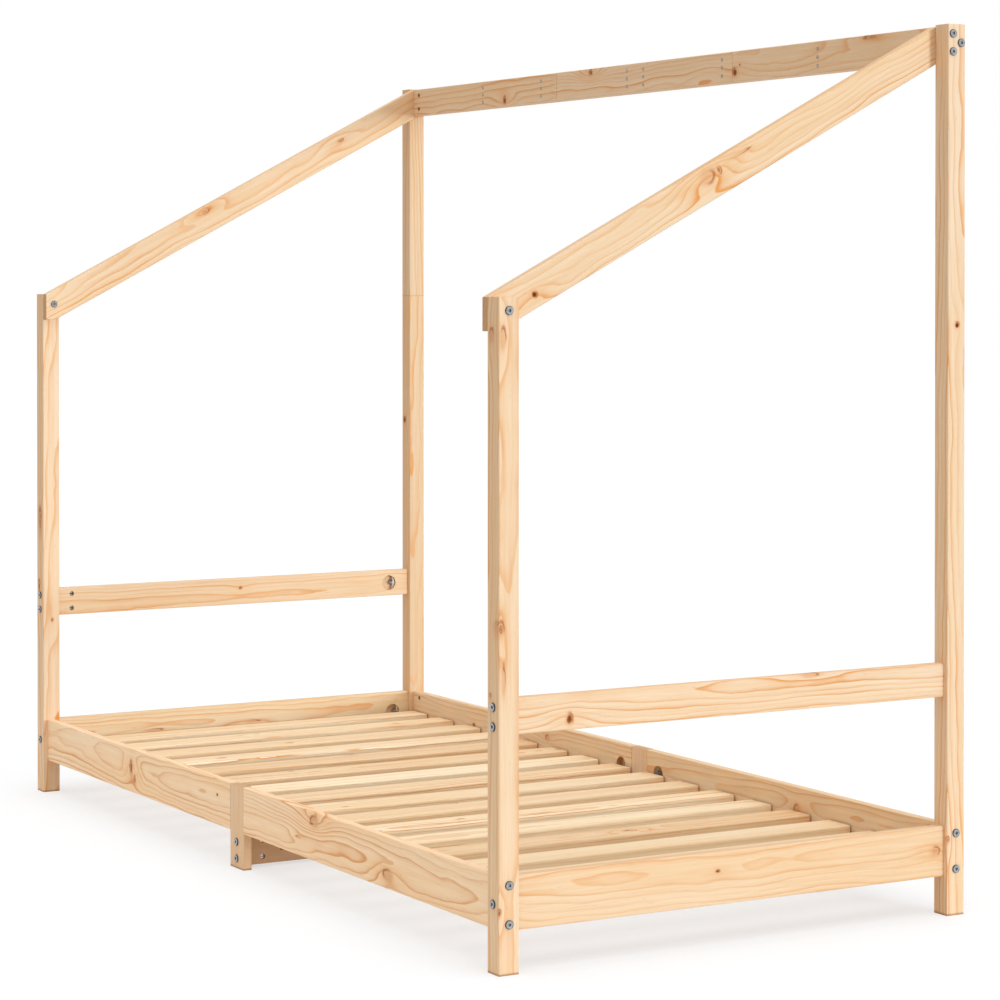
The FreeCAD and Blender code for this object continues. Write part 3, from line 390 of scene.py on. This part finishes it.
# the right rails' BUTTER is partly painted light: paler to stand in for light on their inner faces
pine("side_rail_right_near", Y, Z, BUTTER, pith=(0.02, 10, -30), ring=8, seed=7, contrast=0.7,
     knots=[((452, -560, 120), (9, 8, 40), 12, 0.1)])
pine("side_rail_right_far", Y, Z, BUTTER, pith=(-0.02, -12, -34), ring=8, seed=8, wander=22, contrast=0.7,
     knots=[((452, 373, 132), (8, 6, 40), 9, 0.1), ((452, 700, 118), (6, 4, 40), 6, 0.7)])

# ------------------------------------------------------------------ middle legs and cross beam
# A short upright board stands between the rail halves on each side, and a beam on edge joins the
# two legs under the slats.

pine("mid_leg_left", Z, Y, HONEY, pith=(0.0, 60, 10), ring=4, seed=9, wander=8, contrast=0.8)
pine("mid_leg_right", Z, Y, HONEY, pith=(0.0, -50, 14), ring=4, seed=10, wander=8, contrast=0.7)
# the dark knot on the beam is painted shade standing in for a deep nut hole
pine("cross_beam", X, Z, (0.56, 0.36, 0.215), pith=(0.02, 20, 40), ring=5, seed=11, contrast=0.9,
     knots=[((-378, -9, 31), (6, 5, 40), 8, 0.9)])

# ------------------------------------------------------------------ end rails and guard rails
# The boards across the two ends: a wide one at the height of the slats, and a narrow one above it
# that keeps a mattress or a pillow in.

pine("end_rail_near", X, Z, AMBER, pith=(0.016, 20, 24), ring=10, seed=52, wander=26, contrast=0.7,
     knots=[((-45, -1019, 127), (5, 3, 40), 6, 0.8), ((422, -1019, 117), (10, 9, 40), 16, 0.2)])
pine("end_rail_far", X, Z, (0.810, 0.650, 0.440), pith=(-0.02, 12, 24), ring=8, seed=13, wander=26,
     contrast=0.75,
     knots=[((-212, 1001, 117), (22, 3, 40), 6, 0.1), ((36, 1001, 119), (18, 3, 40), 5, 0.1)])
pine("guard_rail_near", X, Z, HONEY, pith=(0.012, 20, 22), ring=8, seed=14, contrast=0.85, wander=20,
     knots=[((-340, -1019, 409), (6.5, 9, 40), 12, 0.8), ((150, -1019, 449), (16, 4, 40), 10, 0.0)])
pine("guard_rail_far", X, Z, AMBER, pith=(-0.015, -10, 30), ring=7, seed=15, contrast=0.8,
     knots=[((4, 1001, 428), (5, 4, 40), 6, 0.6)])

# ------------------------------------------------------------------ ridge
# The top beam is two boards screwed face to face. The front one runs from post to post and is
# finger-jointed; the back one is in two halves that meet in the middle.

pine("ridge_front", Y, Z, HONEY, pith=(0.02, 16, 24), ring=8, seed=16, wander=24, contrast=1.0,
     knots=[((443, -361, 1545), (9, 9, 40), 10, 0.8), ((443, 543, 1539), (7, 9, 40), 12, 0.8),
            ((443, 178, 1577), (8, 7, 40), 26, 0.6), ((443, -804, 1582), (22, 5, 40), 12, 0.25),
            ((443, -378, 1558), (2.5, 2.5, 40), 0, 1.0)],
     joints=[(-352, 0), (333, 27)])
pine("ridge_back_near", Y, Z, BUTTER, pith=(0.01, 18, -30), ring=5, seed=17)
pine("ridge_back_far", Y, Z, HONEY, pith=(-0.01, -18, -34), ring=6, seed=18)

# ------------------------------------------------------------------ rafters
# A sloping board at each end, bolted to the side of the low post at its foot and butted against the
# ridge at its head. Both cuts at the foot show the end grain.

rafter_low, rafter_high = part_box("rafter_near")
post_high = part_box("low_post_near")[1]
slope = Vector((rafter_high.x - rafter_low.x, 0, rafter_high.z - post_high.z)).normalized()
upward = slope.cross(Y) * -1

pine("rafter_near", slope, upward, AMBER, pith=(0.03, -30, 20), ring=9.5, seed=19, wander=34, contrast=0.95,
     knots=[((-391, -991, 1109), (6.5, 6.5, 40), 12, 1.0), ((-46, -991, 1309), (14, 11, 40), 30, 0.0),
            ((-24, -991, 1321), (5, 8, 40), 0, 0.35), ((18, -991, 1350), (24, 2.5, 40), 6, 0.05)])
pine("rafter_far", slope, upward, AMBER, pith=(-0.02, -20, 26), ring=9, seed=20, wander=26, contrast=0.95,
     knots=[((-96, 973, 1293), (12, 6, 40), 16, 0.25), ((248, 973, 1462), (9, 4, 40), 10, 0.3)])

# ------------------------------------------------------------------ ledgers and slats
# Sixteen loose slats with rounded edges lie on four battens that are screwed to the inside of the
# side rails. The slats are paler and plainer than the frame.

LEDGERS = ("ledger_left_near", "ledger_left_far", "ledger_right_near", "ledger_right_far")
FIRST_LEDGER_SEED = 21
FIRST_SLAT_SEED = 30
DARK_SLAT = (0.830, 0.620, 0.395)
PALE_SLAT = (0.980, 0.850, 0.625)

for number, node in enumerate(LEDGERS):
    pine(node, Y, Z, HONEY, pith=(0.0, 20, 40), ring=4, seed=FIRST_LEDGER_SEED + number)

slat_draw = random.Random(7)
slat_names = sorted(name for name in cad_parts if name.startswith("slat_"))
for number, node in enumerate(slat_names):
    low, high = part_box(node)
    tint = slat_draw.uniform(0.0, 1.0)
    pale = tuple(a + (b - a) * tint for a, b in zip(DARK_SLAT, PALE_SLAT))
    side = slat_draw.choice((-1, 1))
    pith = (slat_draw.uniform(-0.006, 0.006), slat_draw.uniform(-60, 60), side * slat_draw.uniform(30, 80))
    knots = []
    for _ in range(slat_draw.choice((0, 1, 1, 2))):
        spot = (slat_draw.uniform(-400, 400), slat_draw.uniform(low.y, high.y) / MM, high.z / MM)
        sizes = (slat_draw.uniform(5, 12), slat_draw.uniform(3, 6), 40)
        knots.append((spot, sizes, slat_draw.uniform(3, 8), slat_draw.uniform(0.0, 0.5)))
    pine(node, X, Y, pale, pith=pith, ring=slat_draw.uniform(4, 9), seed=FIRST_SLAT_SEED + number,
         wander=7, contrast=slat_draw.uniform(0.6, 1.1), knots=knots)

# ------------------------------------------------------------------ bolts
# Zinc-plated furniture bolts with flat, round-edged heads and a hexagon socket. They pass through
# the posts and legs and screw into nuts inside the boards.

HEAD_RADIUS = 7.5 * MM
HEAD_HEIGHT = 2.4 * MM
HEAD_ROUNDING = 0.8 * MM
HEAD_SIDES = 32
HEXAGON = 6
SHANK_RADIUS = 2.9 * MM
SOCKET_RADIUS = 2.9 * MM
SOCKET_DEPTH = 1.7 * MM
POST = 38 * MM
BOARD = 18 * MM
RAIL_BOLT_STEP = 32 * MM  # from the board's middle to each of its two bolts
NARROW_BOLT_STEP = 16 * MM
RAFTER_BOLT_DROP = 22 * MM  # from the low post's top

# shank lengths
RAIL_BOLT = 74 * MM
END_BOLT = 76 * MM
LOW_GUARD_BOLT = 79 * MM
TALL_GUARD_BOLT = 85 * MM
BEAM_BOLT = 59 * MM
RIDGE_BOLT = 89 * MM
RAFTER_BOLT = 51 * MM

SMOOTH_ANGLE = math.radians(35)
BLOOM_SHADE = 0.62
MARK_DEPTH = 0.05 * MM


def zinc(name, colour, roughness):
    """Bright plating with a cloudy bloom and fine turning marks."""
    material = bpy.data.materials.new(name)
    material.use_nodes = True
    tree = material.node_tree
    shader = tree.nodes["Principled BSDF"]
    shader.inputs["Metallic"].default_value = 1.0
    place = tree.nodes.new("ShaderNodeTexCoord").outputs["Object"]
    bloom = noise(tree, place, (260, 260, 260), detail=3.0)
    marks = noise(tree, place, (2600, 2600, 2600), detail=1.0)
    dull = tuple(part * BLOOM_SHADE for part in colour)
    feed(tree, shader.inputs["Base Color"], blend(tree, ease(tree, bloom, 0.35, 0.7), colour, dull))
    feed(tree, shader.inputs["Roughness"], ease(tree, marks, 0.3, 0.7, roughness, roughness + 0.16))
    bump = tree.nodes.new("ShaderNodeBump")
    bump.inputs["Strength"].default_value = BUMP_STRENGTH
    bump.inputs["Distance"].default_value = MARK_DEPTH
    feed(tree, bump.inputs["Height"], marks)
    feed(tree, shader.inputs["Normal"], bump.outputs["Normal"])
    return material


plated = zinc("zinc_plated", (0.49, 0.495, 0.50), 0.32)
# painted shade for head rims, slots and recesses, and a grey painted shade for socket floors
shadowed = zinc("zinc_painted_shade", (0.09, 0.10, 0.12), 0.4)
socket_floor_shade = zinc("zinc_socket_shade", (0.28, 0.30, 0.32), 0.3)


def start_solid(name, radius, depth, middle, sides):
    """Round blank about the Z axis, left in edit mode with nothing selected."""
    bpy.ops.object.select_all(action="DESELECT")
    bpy.ops.mesh.primitive_cylinder_add(vertices=sides, radius=radius, depth=depth, location=(0, 0, middle))
    solid = bpy.context.object
    solid.name = name
    bpy.ops.object.transform_apply(location=True, rotation=True, scale=True)
    bpy.ops.object.mode_set(mode="EDIT")
    bpy.ops.mesh.select_mode(type="FACE")
    bpy.ops.mesh.select_all(action="DESELECT")
    return solid


def select_end(solid, height):
    """Select the flat faces that look along Z at one height."""
    mesh = bmesh.from_edit_mesh(solid.data)
    for face in mesh.faces:
        level = abs(face.calc_center_median().z - height) < 0.02 * MM
        face.select_set(level and abs(face.normal.z) > 0.99)
    bmesh.update_edit_mesh(solid.data)


def push(distance):
    bpy.ops.mesh.extrude_region_move(TRANSFORM_OT_translate={"value": (0, 0, distance)})


def soften(solid, width, steps=2):
    """Leave edit mode and round the sharp edges."""
    bpy.ops.object.mode_set(mode="OBJECT")
    bevel = solid.modifiers.new("rounding", "BEVEL")
    bevel.width = width
    bevel.segments = steps
    bevel.limit_method = "ANGLE"
    bevel.angle_limit = math.radians(50)
    bpy.ops.object.modifier_apply(modifier=bevel.name)


def cut(solid, tool, name):
    """Take the tool out of the solid and delete the tool."""
    bpy.context.view_layer.objects.active = solid
    modifier = solid.modifiers.new(name, "BOOLEAN")
    modifier.operation = "DIFFERENCE"
    modifier.object = tool
    bpy.ops.object.modifier_apply(modifier=modifier.name)
    bpy.data.objects.remove(tool)


def drill(solid, radius, depth, middle, sides, axis=Z):
    """Cut a straight hole whose tool is a bar along the axis."""
    bpy.ops.object.select_all(action="DESELECT")
    facing = axis.to_track_quat("Z", "Y").to_euler()
    bpy.ops.mesh.primitive_cylinder_add(vertices=sides, radius=radius, depth=depth, location=middle,
                                        rotation=facing)
    cut(solid, bpy.context.object, "hole")


def finish_fastener(solid, material):
    bpy.ops.object.select_all(action="DESELECT")
    solid.select_set(True)
    bpy.context.view_layer.objects.active = solid
    bpy.ops.object.shade_smooth_by_angle(angle=SMOOTH_ANGLE)
    solid.data.materials.clear()
    solid.data.materials.append(material)


def finish_head(solid, radius, floor):
    """Painted shade on the rim round the head and on the walls of its socket, and a paler painted shade on
    the socket floor.
    """
    solid.data.materials.append(shadowed)
    solid.data.materials.append(socket_floor_shade)
    for face in solid.data.polygons:
        reach = face.center.xy.length
        height = face.center.z
        if reach < SOCKET_RADIUS and abs(height - floor) < 0.1 * MM:
            face.material_index = 2
        elif height < 0.1 * MM and (reach > radius - 0.9 * MM or reach < SOCKET_RADIUS and height < floor):
            face.material_index = 1


def bolt(length):
    """Head below the origin, shank up along Z."""
    solid = start_solid("bolt", HEAD_RADIUS, HEAD_HEIGHT, -HEAD_HEIGHT / 2, HEAD_SIDES)
    select_end(solid, 0)
    bpy.ops.mesh.inset(thickness=HEAD_RADIUS - SHANK_RADIUS)
    push(length)
    soften(solid, HEAD_ROUNDING, 3)
    drill(solid, SOCKET_RADIUS, 2 * SOCKET_DEPTH, (0, 0, -HEAD_HEIGHT), HEXAGON)
    finish_fastener(solid, plated)
    finish_head(solid, HEAD_RADIUS, SOCKET_DEPTH - HEAD_HEIGHT)
    return solid


def aim(point, direction, side=None):
    """Place whose Z points along the direction."""
    if side is None:
        turn = direction.to_track_quat("Z", "Y").to_matrix()
    else:
        turn = Matrix((side, direction.cross(side), direction)).transposed()
    return Matrix.Translation(point) @ turn.to_4x4()


def set_out(name, masters, replaced=()):
    """Copy the masters to their places and join them into one group. Masters are (solid, places)."""
    copies = []
    for master, places in masters:
        for place in places:
            copy = master.copy()
            copy.data = master.data.copy()
            copy.data.transform(place)
            bpy.context.collection.objects.link(copy)
            copies.append(copy)
        bpy.data.objects.remove(master)
    bpy.ops.object.select_all(action="DESELECT")
    for copy in copies:
        copy.select_set(True)
    bpy.context.view_layer.objects.active = copies[0]
    bpy.ops.object.join()
    group = bpy.context.object
    group.name = name
    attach(group, "root")
    if replaced:
        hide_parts(*replaced)
    return group


rail_low, rail_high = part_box("side_rail_left_near")
guard_low, guard_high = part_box("guard_rail_near")
beam_low, beam_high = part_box("cross_beam")
ridge_low, ridge_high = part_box("ridge_front")
leg_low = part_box("mid_leg_left")[0]
tall_low, tall_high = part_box("tall_post_near")

rail_level = (rail_low.z + rail_high.z) / 2
guard_level = (guard_low.z + guard_high.z) / 2
beam_level = (beam_low.z + beam_high.z) / 2
ridge_level = (ridge_low.z + ridge_high.z) / 2
rafter_level = post_high.z - RAFTER_BOLT_DROP
side_line = tall_high.x - POST / 2
end_line = -tall_low.y - POST / 2
outer_x = tall_high.x
outer_y = -tall_low.y
ridge_lines = ((ridge_low.x + ridge_high.x) / 2, ridge_high.x + BOARD / 2)

ends = [(-1, Y), (1, -Y)]
sides = [(-1, X), (1, -X)]

places = []
for side, _ in sides:
    for end, inward in ends:
        for step in (-RAIL_BOLT_STEP, RAIL_BOLT_STEP):
            places.append(aim(Vector((side * side_line, end * outer_y, rail_level + step)), inward))
set_out("rail_bolts", [(bolt(RAIL_BOLT), places)], ["side_rail_bolts"])

places = [aim(Vector((side * outer_x, end * end_line, rail_level)), inward)
          for side, inward in sides for end, _ in ends]
set_out("end_bolts", [(bolt(END_BOLT), places)], ["end_rail_bolts"])

low_places = []
tall_places = []
for end, _ in ends:
    for step in (-NARROW_BOLT_STEP, NARROW_BOLT_STEP):
        low_places.append(aim(Vector((-outer_x, end * end_line, guard_level + step)), X))
    tall_places.append(aim(Vector((outer_x, end * end_line, guard_level)), -X))
guard_bolts = [(bolt(LOW_GUARD_BOLT), low_places), (bolt(TALL_GUARD_BOLT), tall_places)]
set_out("guard_bolts", guard_bolts, ["guard_rail_bolts"])

places = [aim(Vector((side * -leg_low.x, 0, beam_level + step)), inward)
          for side, inward in sides for step in (-NARROW_BOLT_STEP, NARROW_BOLT_STEP)]
set_out("beam_bolts", [(bolt(BEAM_BOLT), places)], ["cross_beam_bolts"])

places = []
for end, inward in ends:
    for step in (-NARROW_BOLT_STEP, NARROW_BOLT_STEP):
        places.append(aim(Vector((ridge_lines[0], end * outer_y, ridge_level + step)), inward))
    places.append(aim(Vector((ridge_lines[1], end * outer_y, ridge_level)), inward))
set_out("roof_bolts", [(bolt(RIDGE_BOLT), places)], ["ridge_bolts"])

places = [aim(Vector((-side_line, end * outer_y, rafter_level)), inward) for end, inward in ends]
set_out("rafter_foot_bolts", [(bolt(RAFTER_BOLT), places)], ["rafter_bolts"])

# ------------------------------------------------------------------ barrel nuts
# Turned steel barrels with a cross thread for the bolt, dropped into blind holes from the inner
# face. A screwdriver slot in the end turns the thread towards the bolt.

BARREL_RADIUS = 4.9 * MM
BARREL_LENGTH = 12 * MM
BARREL_SIDES = 24
SLOT_WIDTH = 1.6 * MM
SLOT_DEPTH = 1.5 * MM
THREAD_SIDES = 16
RIGHT_THROUGH = 20 * MM  # longer than the nut is wide
RAIL_NUT_REACH = 28 * MM  # from the post to the nut's middle
NARROW_NUT_REACH = 33 * MM
RIDGE_NUT_REACH = 43 * MM


def barrel_nut(material=plated):
    """Barrel along Z with its thread along X."""
    solid = start_solid("barrel", BARREL_RADIUS, BARREL_LENGTH, 0, BARREL_SIDES)
    soften(solid, 0.5 * MM)
    drill(solid, SHANK_RADIUS + 0.1 * MM, RIGHT_THROUGH, (0, 0, 0), THREAD_SIDES, X)
    # screwdriver slot across the shown end
    bpy.ops.object.select_all(action="DESELECT")
    bpy.ops.mesh.primitive_cube_add(size=1, location=(0, 0, BARREL_LENGTH / 2),
                                    scale=(RIGHT_THROUGH, SLOT_WIDTH, 2 * SLOT_DEPTH))
    cut(solid, bpy.context.object, "slot")
    finish_fastener(solid, material)
    # painted shade in the slot and the thread
    solid.data.materials.append(shadowed)
    for face in solid.data.polygons:
        inside = abs(face.center.z) < BARREL_LENGTH / 2 - 0.2 * MM
        if inside and face.center.xy.length < 0.8 * BARREL_RADIUS:
            face.material_index = 1
    return solid


places = []
for side, inward in sides:
    for end, direction in ends:
        for step in (-RAIL_BOLT_STEP, RAIL_BOLT_STEP):
            reach = end * (outer_y - POST - RAIL_NUT_REACH)
            places.append(aim(Vector((side * side_line, reach, rail_level + step)), inward, direction))
set_out("rail_barrels", [(barrel_nut(), places)], ["side_rail_barrel_nuts"])

guard_reach = -(outer_x - POST - NARROW_NUT_REACH)
places = [aim(Vector((guard_reach, end * end_line, guard_level + step)), inward, X)
          for end, inward in ends for step in (-NARROW_BOLT_STEP, NARROW_BOLT_STEP)]
set_out("guard_barrels", [(barrel_nut(), places)], ["guard_rail_barrel_nuts"])

places = [aim(Vector((side * (beam_high.x - NARROW_NUT_REACH), 0, beam_level + step)), -Y, inward)
          for side, inward in sides for step in (-NARROW_BOLT_STEP, NARROW_BOLT_STEP)]
# the beam's nuts are painted brighter than the other nuts, as painted light where they lie in shade under
# the slats
bright = zinc("zinc_painted_light", (0.96, 0.96, 0.96), 0.22)
set_out("beam_barrels", [(barrel_nut(bright), places)], ["cross_beam_barrel_nuts"])

places = []
for end, inward in ends:
    reach = end * (outer_y - POST - RIDGE_NUT_REACH)
    for step in (-NARROW_BOLT_STEP, NARROW_BOLT_STEP):
        places.append(aim(Vector((ridge_lines[0], reach, ridge_level + step)), -X, inward))
    places.append(aim(Vector((ridge_lines[1], reach, ridge_level)), X, inward))
set_out("roof_barrels", [(barrel_nut(), places)], ["ridge_barrel_nuts"])

# ------------------------------------------------------------------ recessed nuts
# Where a rail meets the middle leg or an end post, a round recess holds a half-moon washer, painted pale as
# a reflection, and a duller hexagon nut on the end of a bolt or of the stud through the leg.

cast_zinc = zinc("zinc_cast", (0.46, 0.48, 0.50), 0.42)
# the washers' pale zinc is a painted reflection and glints
washer_reflection_zinc = zinc("zinc_painted_reflection", (0.84, 0.88, 0.92), 0.16)
metals = {"half_moon_washers": washer_reflection_zinc, "hex_nuts": cast_zinc, "mid_leg_studs": cast_zinc}
for node, metal in metals.items():
    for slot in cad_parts[node].material_slots:
        slot.material = metal

# ------------------------------------------------------------------ rafter sleeve nuts
# The bolt at a rafter's foot ends in a sleeve nut whose flange lies on the board's inner face.

FLANGE = 1.9 * MM
SLEEVE_RADIUS = 3.9 * MM
SLEEVE_LENGTH = 14 * MM
SLEEVE_BORE = 12 * MM


def sleeve_nut():
    """Flange below the origin, sleeve up along Z with its thread open at the top."""
    solid = start_solid("sleeve", HEAD_RADIUS, FLANGE, -FLANGE / 2, HEAD_SIDES)
    select_end(solid, 0)
    bpy.ops.mesh.inset(thickness=HEAD_RADIUS - SLEEVE_RADIUS)
    push(SLEEVE_LENGTH)
    soften(solid, 0.6 * MM, 3)
    drill(solid, SOCKET_RADIUS, 2 * SOCKET_DEPTH, (0, 0, -FLANGE), HEXAGON)
    drill(solid, SHANK_RADIUS + 0.05 * MM, 2 * SLEEVE_BORE, (0, 0, SLEEVE_LENGTH), THREAD_SIDES)
    finish_fastener(solid, plated)
    finish_head(solid, HEAD_RADIUS, SOCKET_DEPTH - FLANGE)
    return solid


sleeve_face = outer_y - POST - BOARD
places = [aim(Vector((-side_line, end * sleeve_face, rafter_level)), -inward) for end, inward in ends]
set_out("rafter_sleeves", [(sleeve_nut(), places)], ["rafter_sleeve_nuts"])

# ------------------------------------------------------------------ dowels
# Beech dowels stop each end rail from turning on its bolt. They are hidden in their holes.

BEECH = (0.52, 0.33, 0.18)
BEECH_RAY = (0.42, 0.24, 0.12)

beech = bpy.data.materials.new("beech_dowel")
beech.use_nodes = True
beech_tree = beech.node_tree
beech_shader = beech_tree.nodes["Principled BSDF"]
beech_place = beech_tree.nodes.new("ShaderNodeTexCoord").outputs["Object"]
beech_rays = noise(beech_tree, beech_place, (120, 1400, 1400), detail=2.0)
beech_colour = blend(beech_tree, ease(beech_tree, beech_rays, 0.4, 0.65), BEECH, BEECH_RAY)
feed(beech_tree, beech_shader.inputs["Base Color"], beech_colour)
feed(beech_tree, beech_shader.inputs["Roughness"], ease(beech_tree, beech_rays, 0.3, 0.7, 0.55, 0.7))
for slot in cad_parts["end_rail_dowels"].material_slots:
    slot.material = beech

# ------------------------------------------------------------------ ridge screws
# Six rows of three countersunk screws hold the ridge's two boards together. Their flat heads lie
# flush in the front board's left face.

SCREW_RADIUS = 3.4 * MM
SCREW_SIDES = 24
SCREW_LENGTH = 24 * MM
RIM = 0.5 * MM  # thickness of the head's straight edge
COUNTERSINK = 1.6 * MM
SHANK_SHARE = 0.5  # of the head's radius
DRIVE_RADIUS = 1.4 * MM
SCREW_ROWS = (643 * MM, 386 * MM, 36 * MM, -27 * MM, -315.5 * MM, -635.5 * MM)
SCREW_LEVELS = (-16.3 * MM, 0, 16 * MM)


def wood_screw(length):
    """Countersunk head a hair above the origin, shank down Z."""
    solid = start_solid("screw", SCREW_RADIUS, RIM, 0, SCREW_SIDES)
    select_end(solid, -RIM / 2)
    push(-COUNTERSINK)
    bpy.ops.transform.resize(value=(SHANK_SHARE, SHANK_SHARE, 1))
    push(-length)
    bpy.ops.mesh.select_all(action="DESELECT")
    select_end(solid, RIM / 2)
    bpy.ops.mesh.inset(thickness=0.8 * MM)
    soften(solid, 0.1 * MM, 1)
    drill(solid, DRIVE_RADIUS, 2.4 * MM, (0, 0, 0.4 * MM), 4)
    finish_fastener(solid, plated)
    # the countersink round the head lies in shadow
    solid.data.materials.append(shadowed)
    for face in solid.data.polygons:
        if face.center.xy.length > SCREW_RADIUS - 0.8 * MM:
            face.material_index = 1
    return solid


places = [aim(Vector((ridge_low.x, row, ridge_level + level)), -X)
          for row in SCREW_ROWS for level in SCREW_LEVELS]
set_out("ridge_screws", [(wood_screw(SCREW_LENGTH), places)])

# ------------------------------------------------------------------ studio
# White floor and backdrop, a low lamp in front of the bed, a broad soft one above it, and the camera
# of the photograph.

FLOOR_SIZE = 60
FLOOR_GLOW = 0.6
FLOOR_WHITE = (0.95, 0.97, 1.0)
FLOOR_BOUNCE = (0.85, 0.38)  # near the bed and far from it


def shown_rays(tree):
    """1 for the rays that reach the picture directly or through a reflection, 0 for lighting rays."""
    path = tree.nodes.new("ShaderNodeLightPath").outputs
    mirrored = calc(tree, "MAXIMUM", path["Is Glossy Ray"], path["Is Transmission Ray"])
    return calc(tree, "MAXIMUM", path["Is Camera Ray"], mirrored)


bpy.ops.object.select_all(action="DESELECT")
bpy.ops.mesh.primitive_plane_add(size=FLOOR_SIZE, location=(0, 0, 0))
floor = bpy.context.object
floor.name = "floor"
white = bpy.data.materials.new("floor_white")
white.use_nodes = True
white_tree = white.node_tree
white_shader = white_tree.nodes["Principled BSDF"]
white_shader.inputs["Roughness"].default_value = 1.0
white_shader.inputs["Specular IOR Level"].default_value = 0.0
# in the picture the floor is white and partly lit from below, which keeps the shadows pale, but it
# throws little light back onto the bed
glow = white_tree.nodes.new("ShaderNodeEmission")
glow.inputs["Color"].default_value = (1, 1, 1, 1)
mixed = white_tree.nodes.new("ShaderNodeMixShader")
shown = shown_rays(white_tree)
away = vector_calc(white_tree, "LENGTH", white_tree.nodes.new("ShaderNodeTexCoord").outputs["Object"])
near_bounce, far_bounce = ((part,) * 3 for part in FLOOR_BOUNCE)
bounce = blend(white_tree, ease(white_tree, away, 1.0, 3.5), near_bounce, far_bounce)
feed(white_tree, white_shader.inputs["Base Color"], blend(white_tree, shown, bounce, FLOOR_WHITE))
feed(white_tree, mixed.inputs["Fac"], calc(white_tree, "MULTIPLY", shown, FLOOR_GLOW))
white_tree.links.new(white_shader.outputs["BSDF"], mixed.inputs[1])
white_tree.links.new(glow.outputs["Emission"], mixed.inputs[2])
white_tree.links.new(mixed.outputs["Shader"], white_tree.nodes["Material Output"].inputs["Surface"])
floor.data.materials.append(white)

AMBIENT = 0.76
FRONT = 2.55
TOP = 1.05

world = bpy.data.worlds.new("studio")
bpy.context.scene.world = world
world.use_nodes = True
sky = world.node_tree
background = sky.nodes["Background"]
seen = shown_rays(sky)
strength = calc(sky, "ADD", AMBIENT, calc(sky, "MULTIPLY", seen, 1.0 - AMBIENT))
feed(sky, background.inputs["Color"], blend(sky, seen, (1.0, 1.0, 0.99), (1, 1, 1)))
feed(sky, background.inputs["Strength"], strength)

for name, energy, colour, spread, towards in (
    ("front_lamp", FRONT, (0.630, 0.795, 1.0), 12, (0.31, -0.95, 0.03)),
    ("top_lamp", TOP, (1.0, 1.0, 1.0), 70, (0.05, -0.25, 0.95)),
):
    lamp = bpy.data.lights.new(name, "SUN")
    lamp.energy = energy
    lamp.color = colour
    lamp.angle = math.radians(spread)
    stand = bpy.data.objects.new(name, lamp)
    bpy.context.collection.objects.link(stand)
    stand.rotation_euler = Vector(towards).to_track_quat("Z", "Y").to_euler()
    stand.visible_glossy = False  # the metal mirrors the white studio and not the lamps

CAMERA_PLACE = (-2.8683, -5.1660, 1.1227)
CAMERA_TURN = math.radians(30.018)  # from straight along the bed towards the tall side
CAMERA_DIP = math.radians(0.637)
HORIZON_ROW = 318.9  # row of the 1000 that the lens axis meets
LENS = 106.08  # mm, on a sensor of 36 mm
camera = bpy.data.objects.new("camera", bpy.data.cameras.new("camera"))
bpy.context.collection.objects.link(camera)
camera.location = CAMERA_PLACE
camera.rotation_euler = (math.pi / 2 - CAMERA_DIP, 0, -CAMERA_TURN)
camera.data.sensor_width = 36
camera.data.lens = LENS
camera.data.shift_y = (HORIZON_ROW - 500) / 1000
camera.data.clip_end = 200
bpy.context.scene.camera = camera
bpy.context.scene.view_settings.view_transform = "Standard"
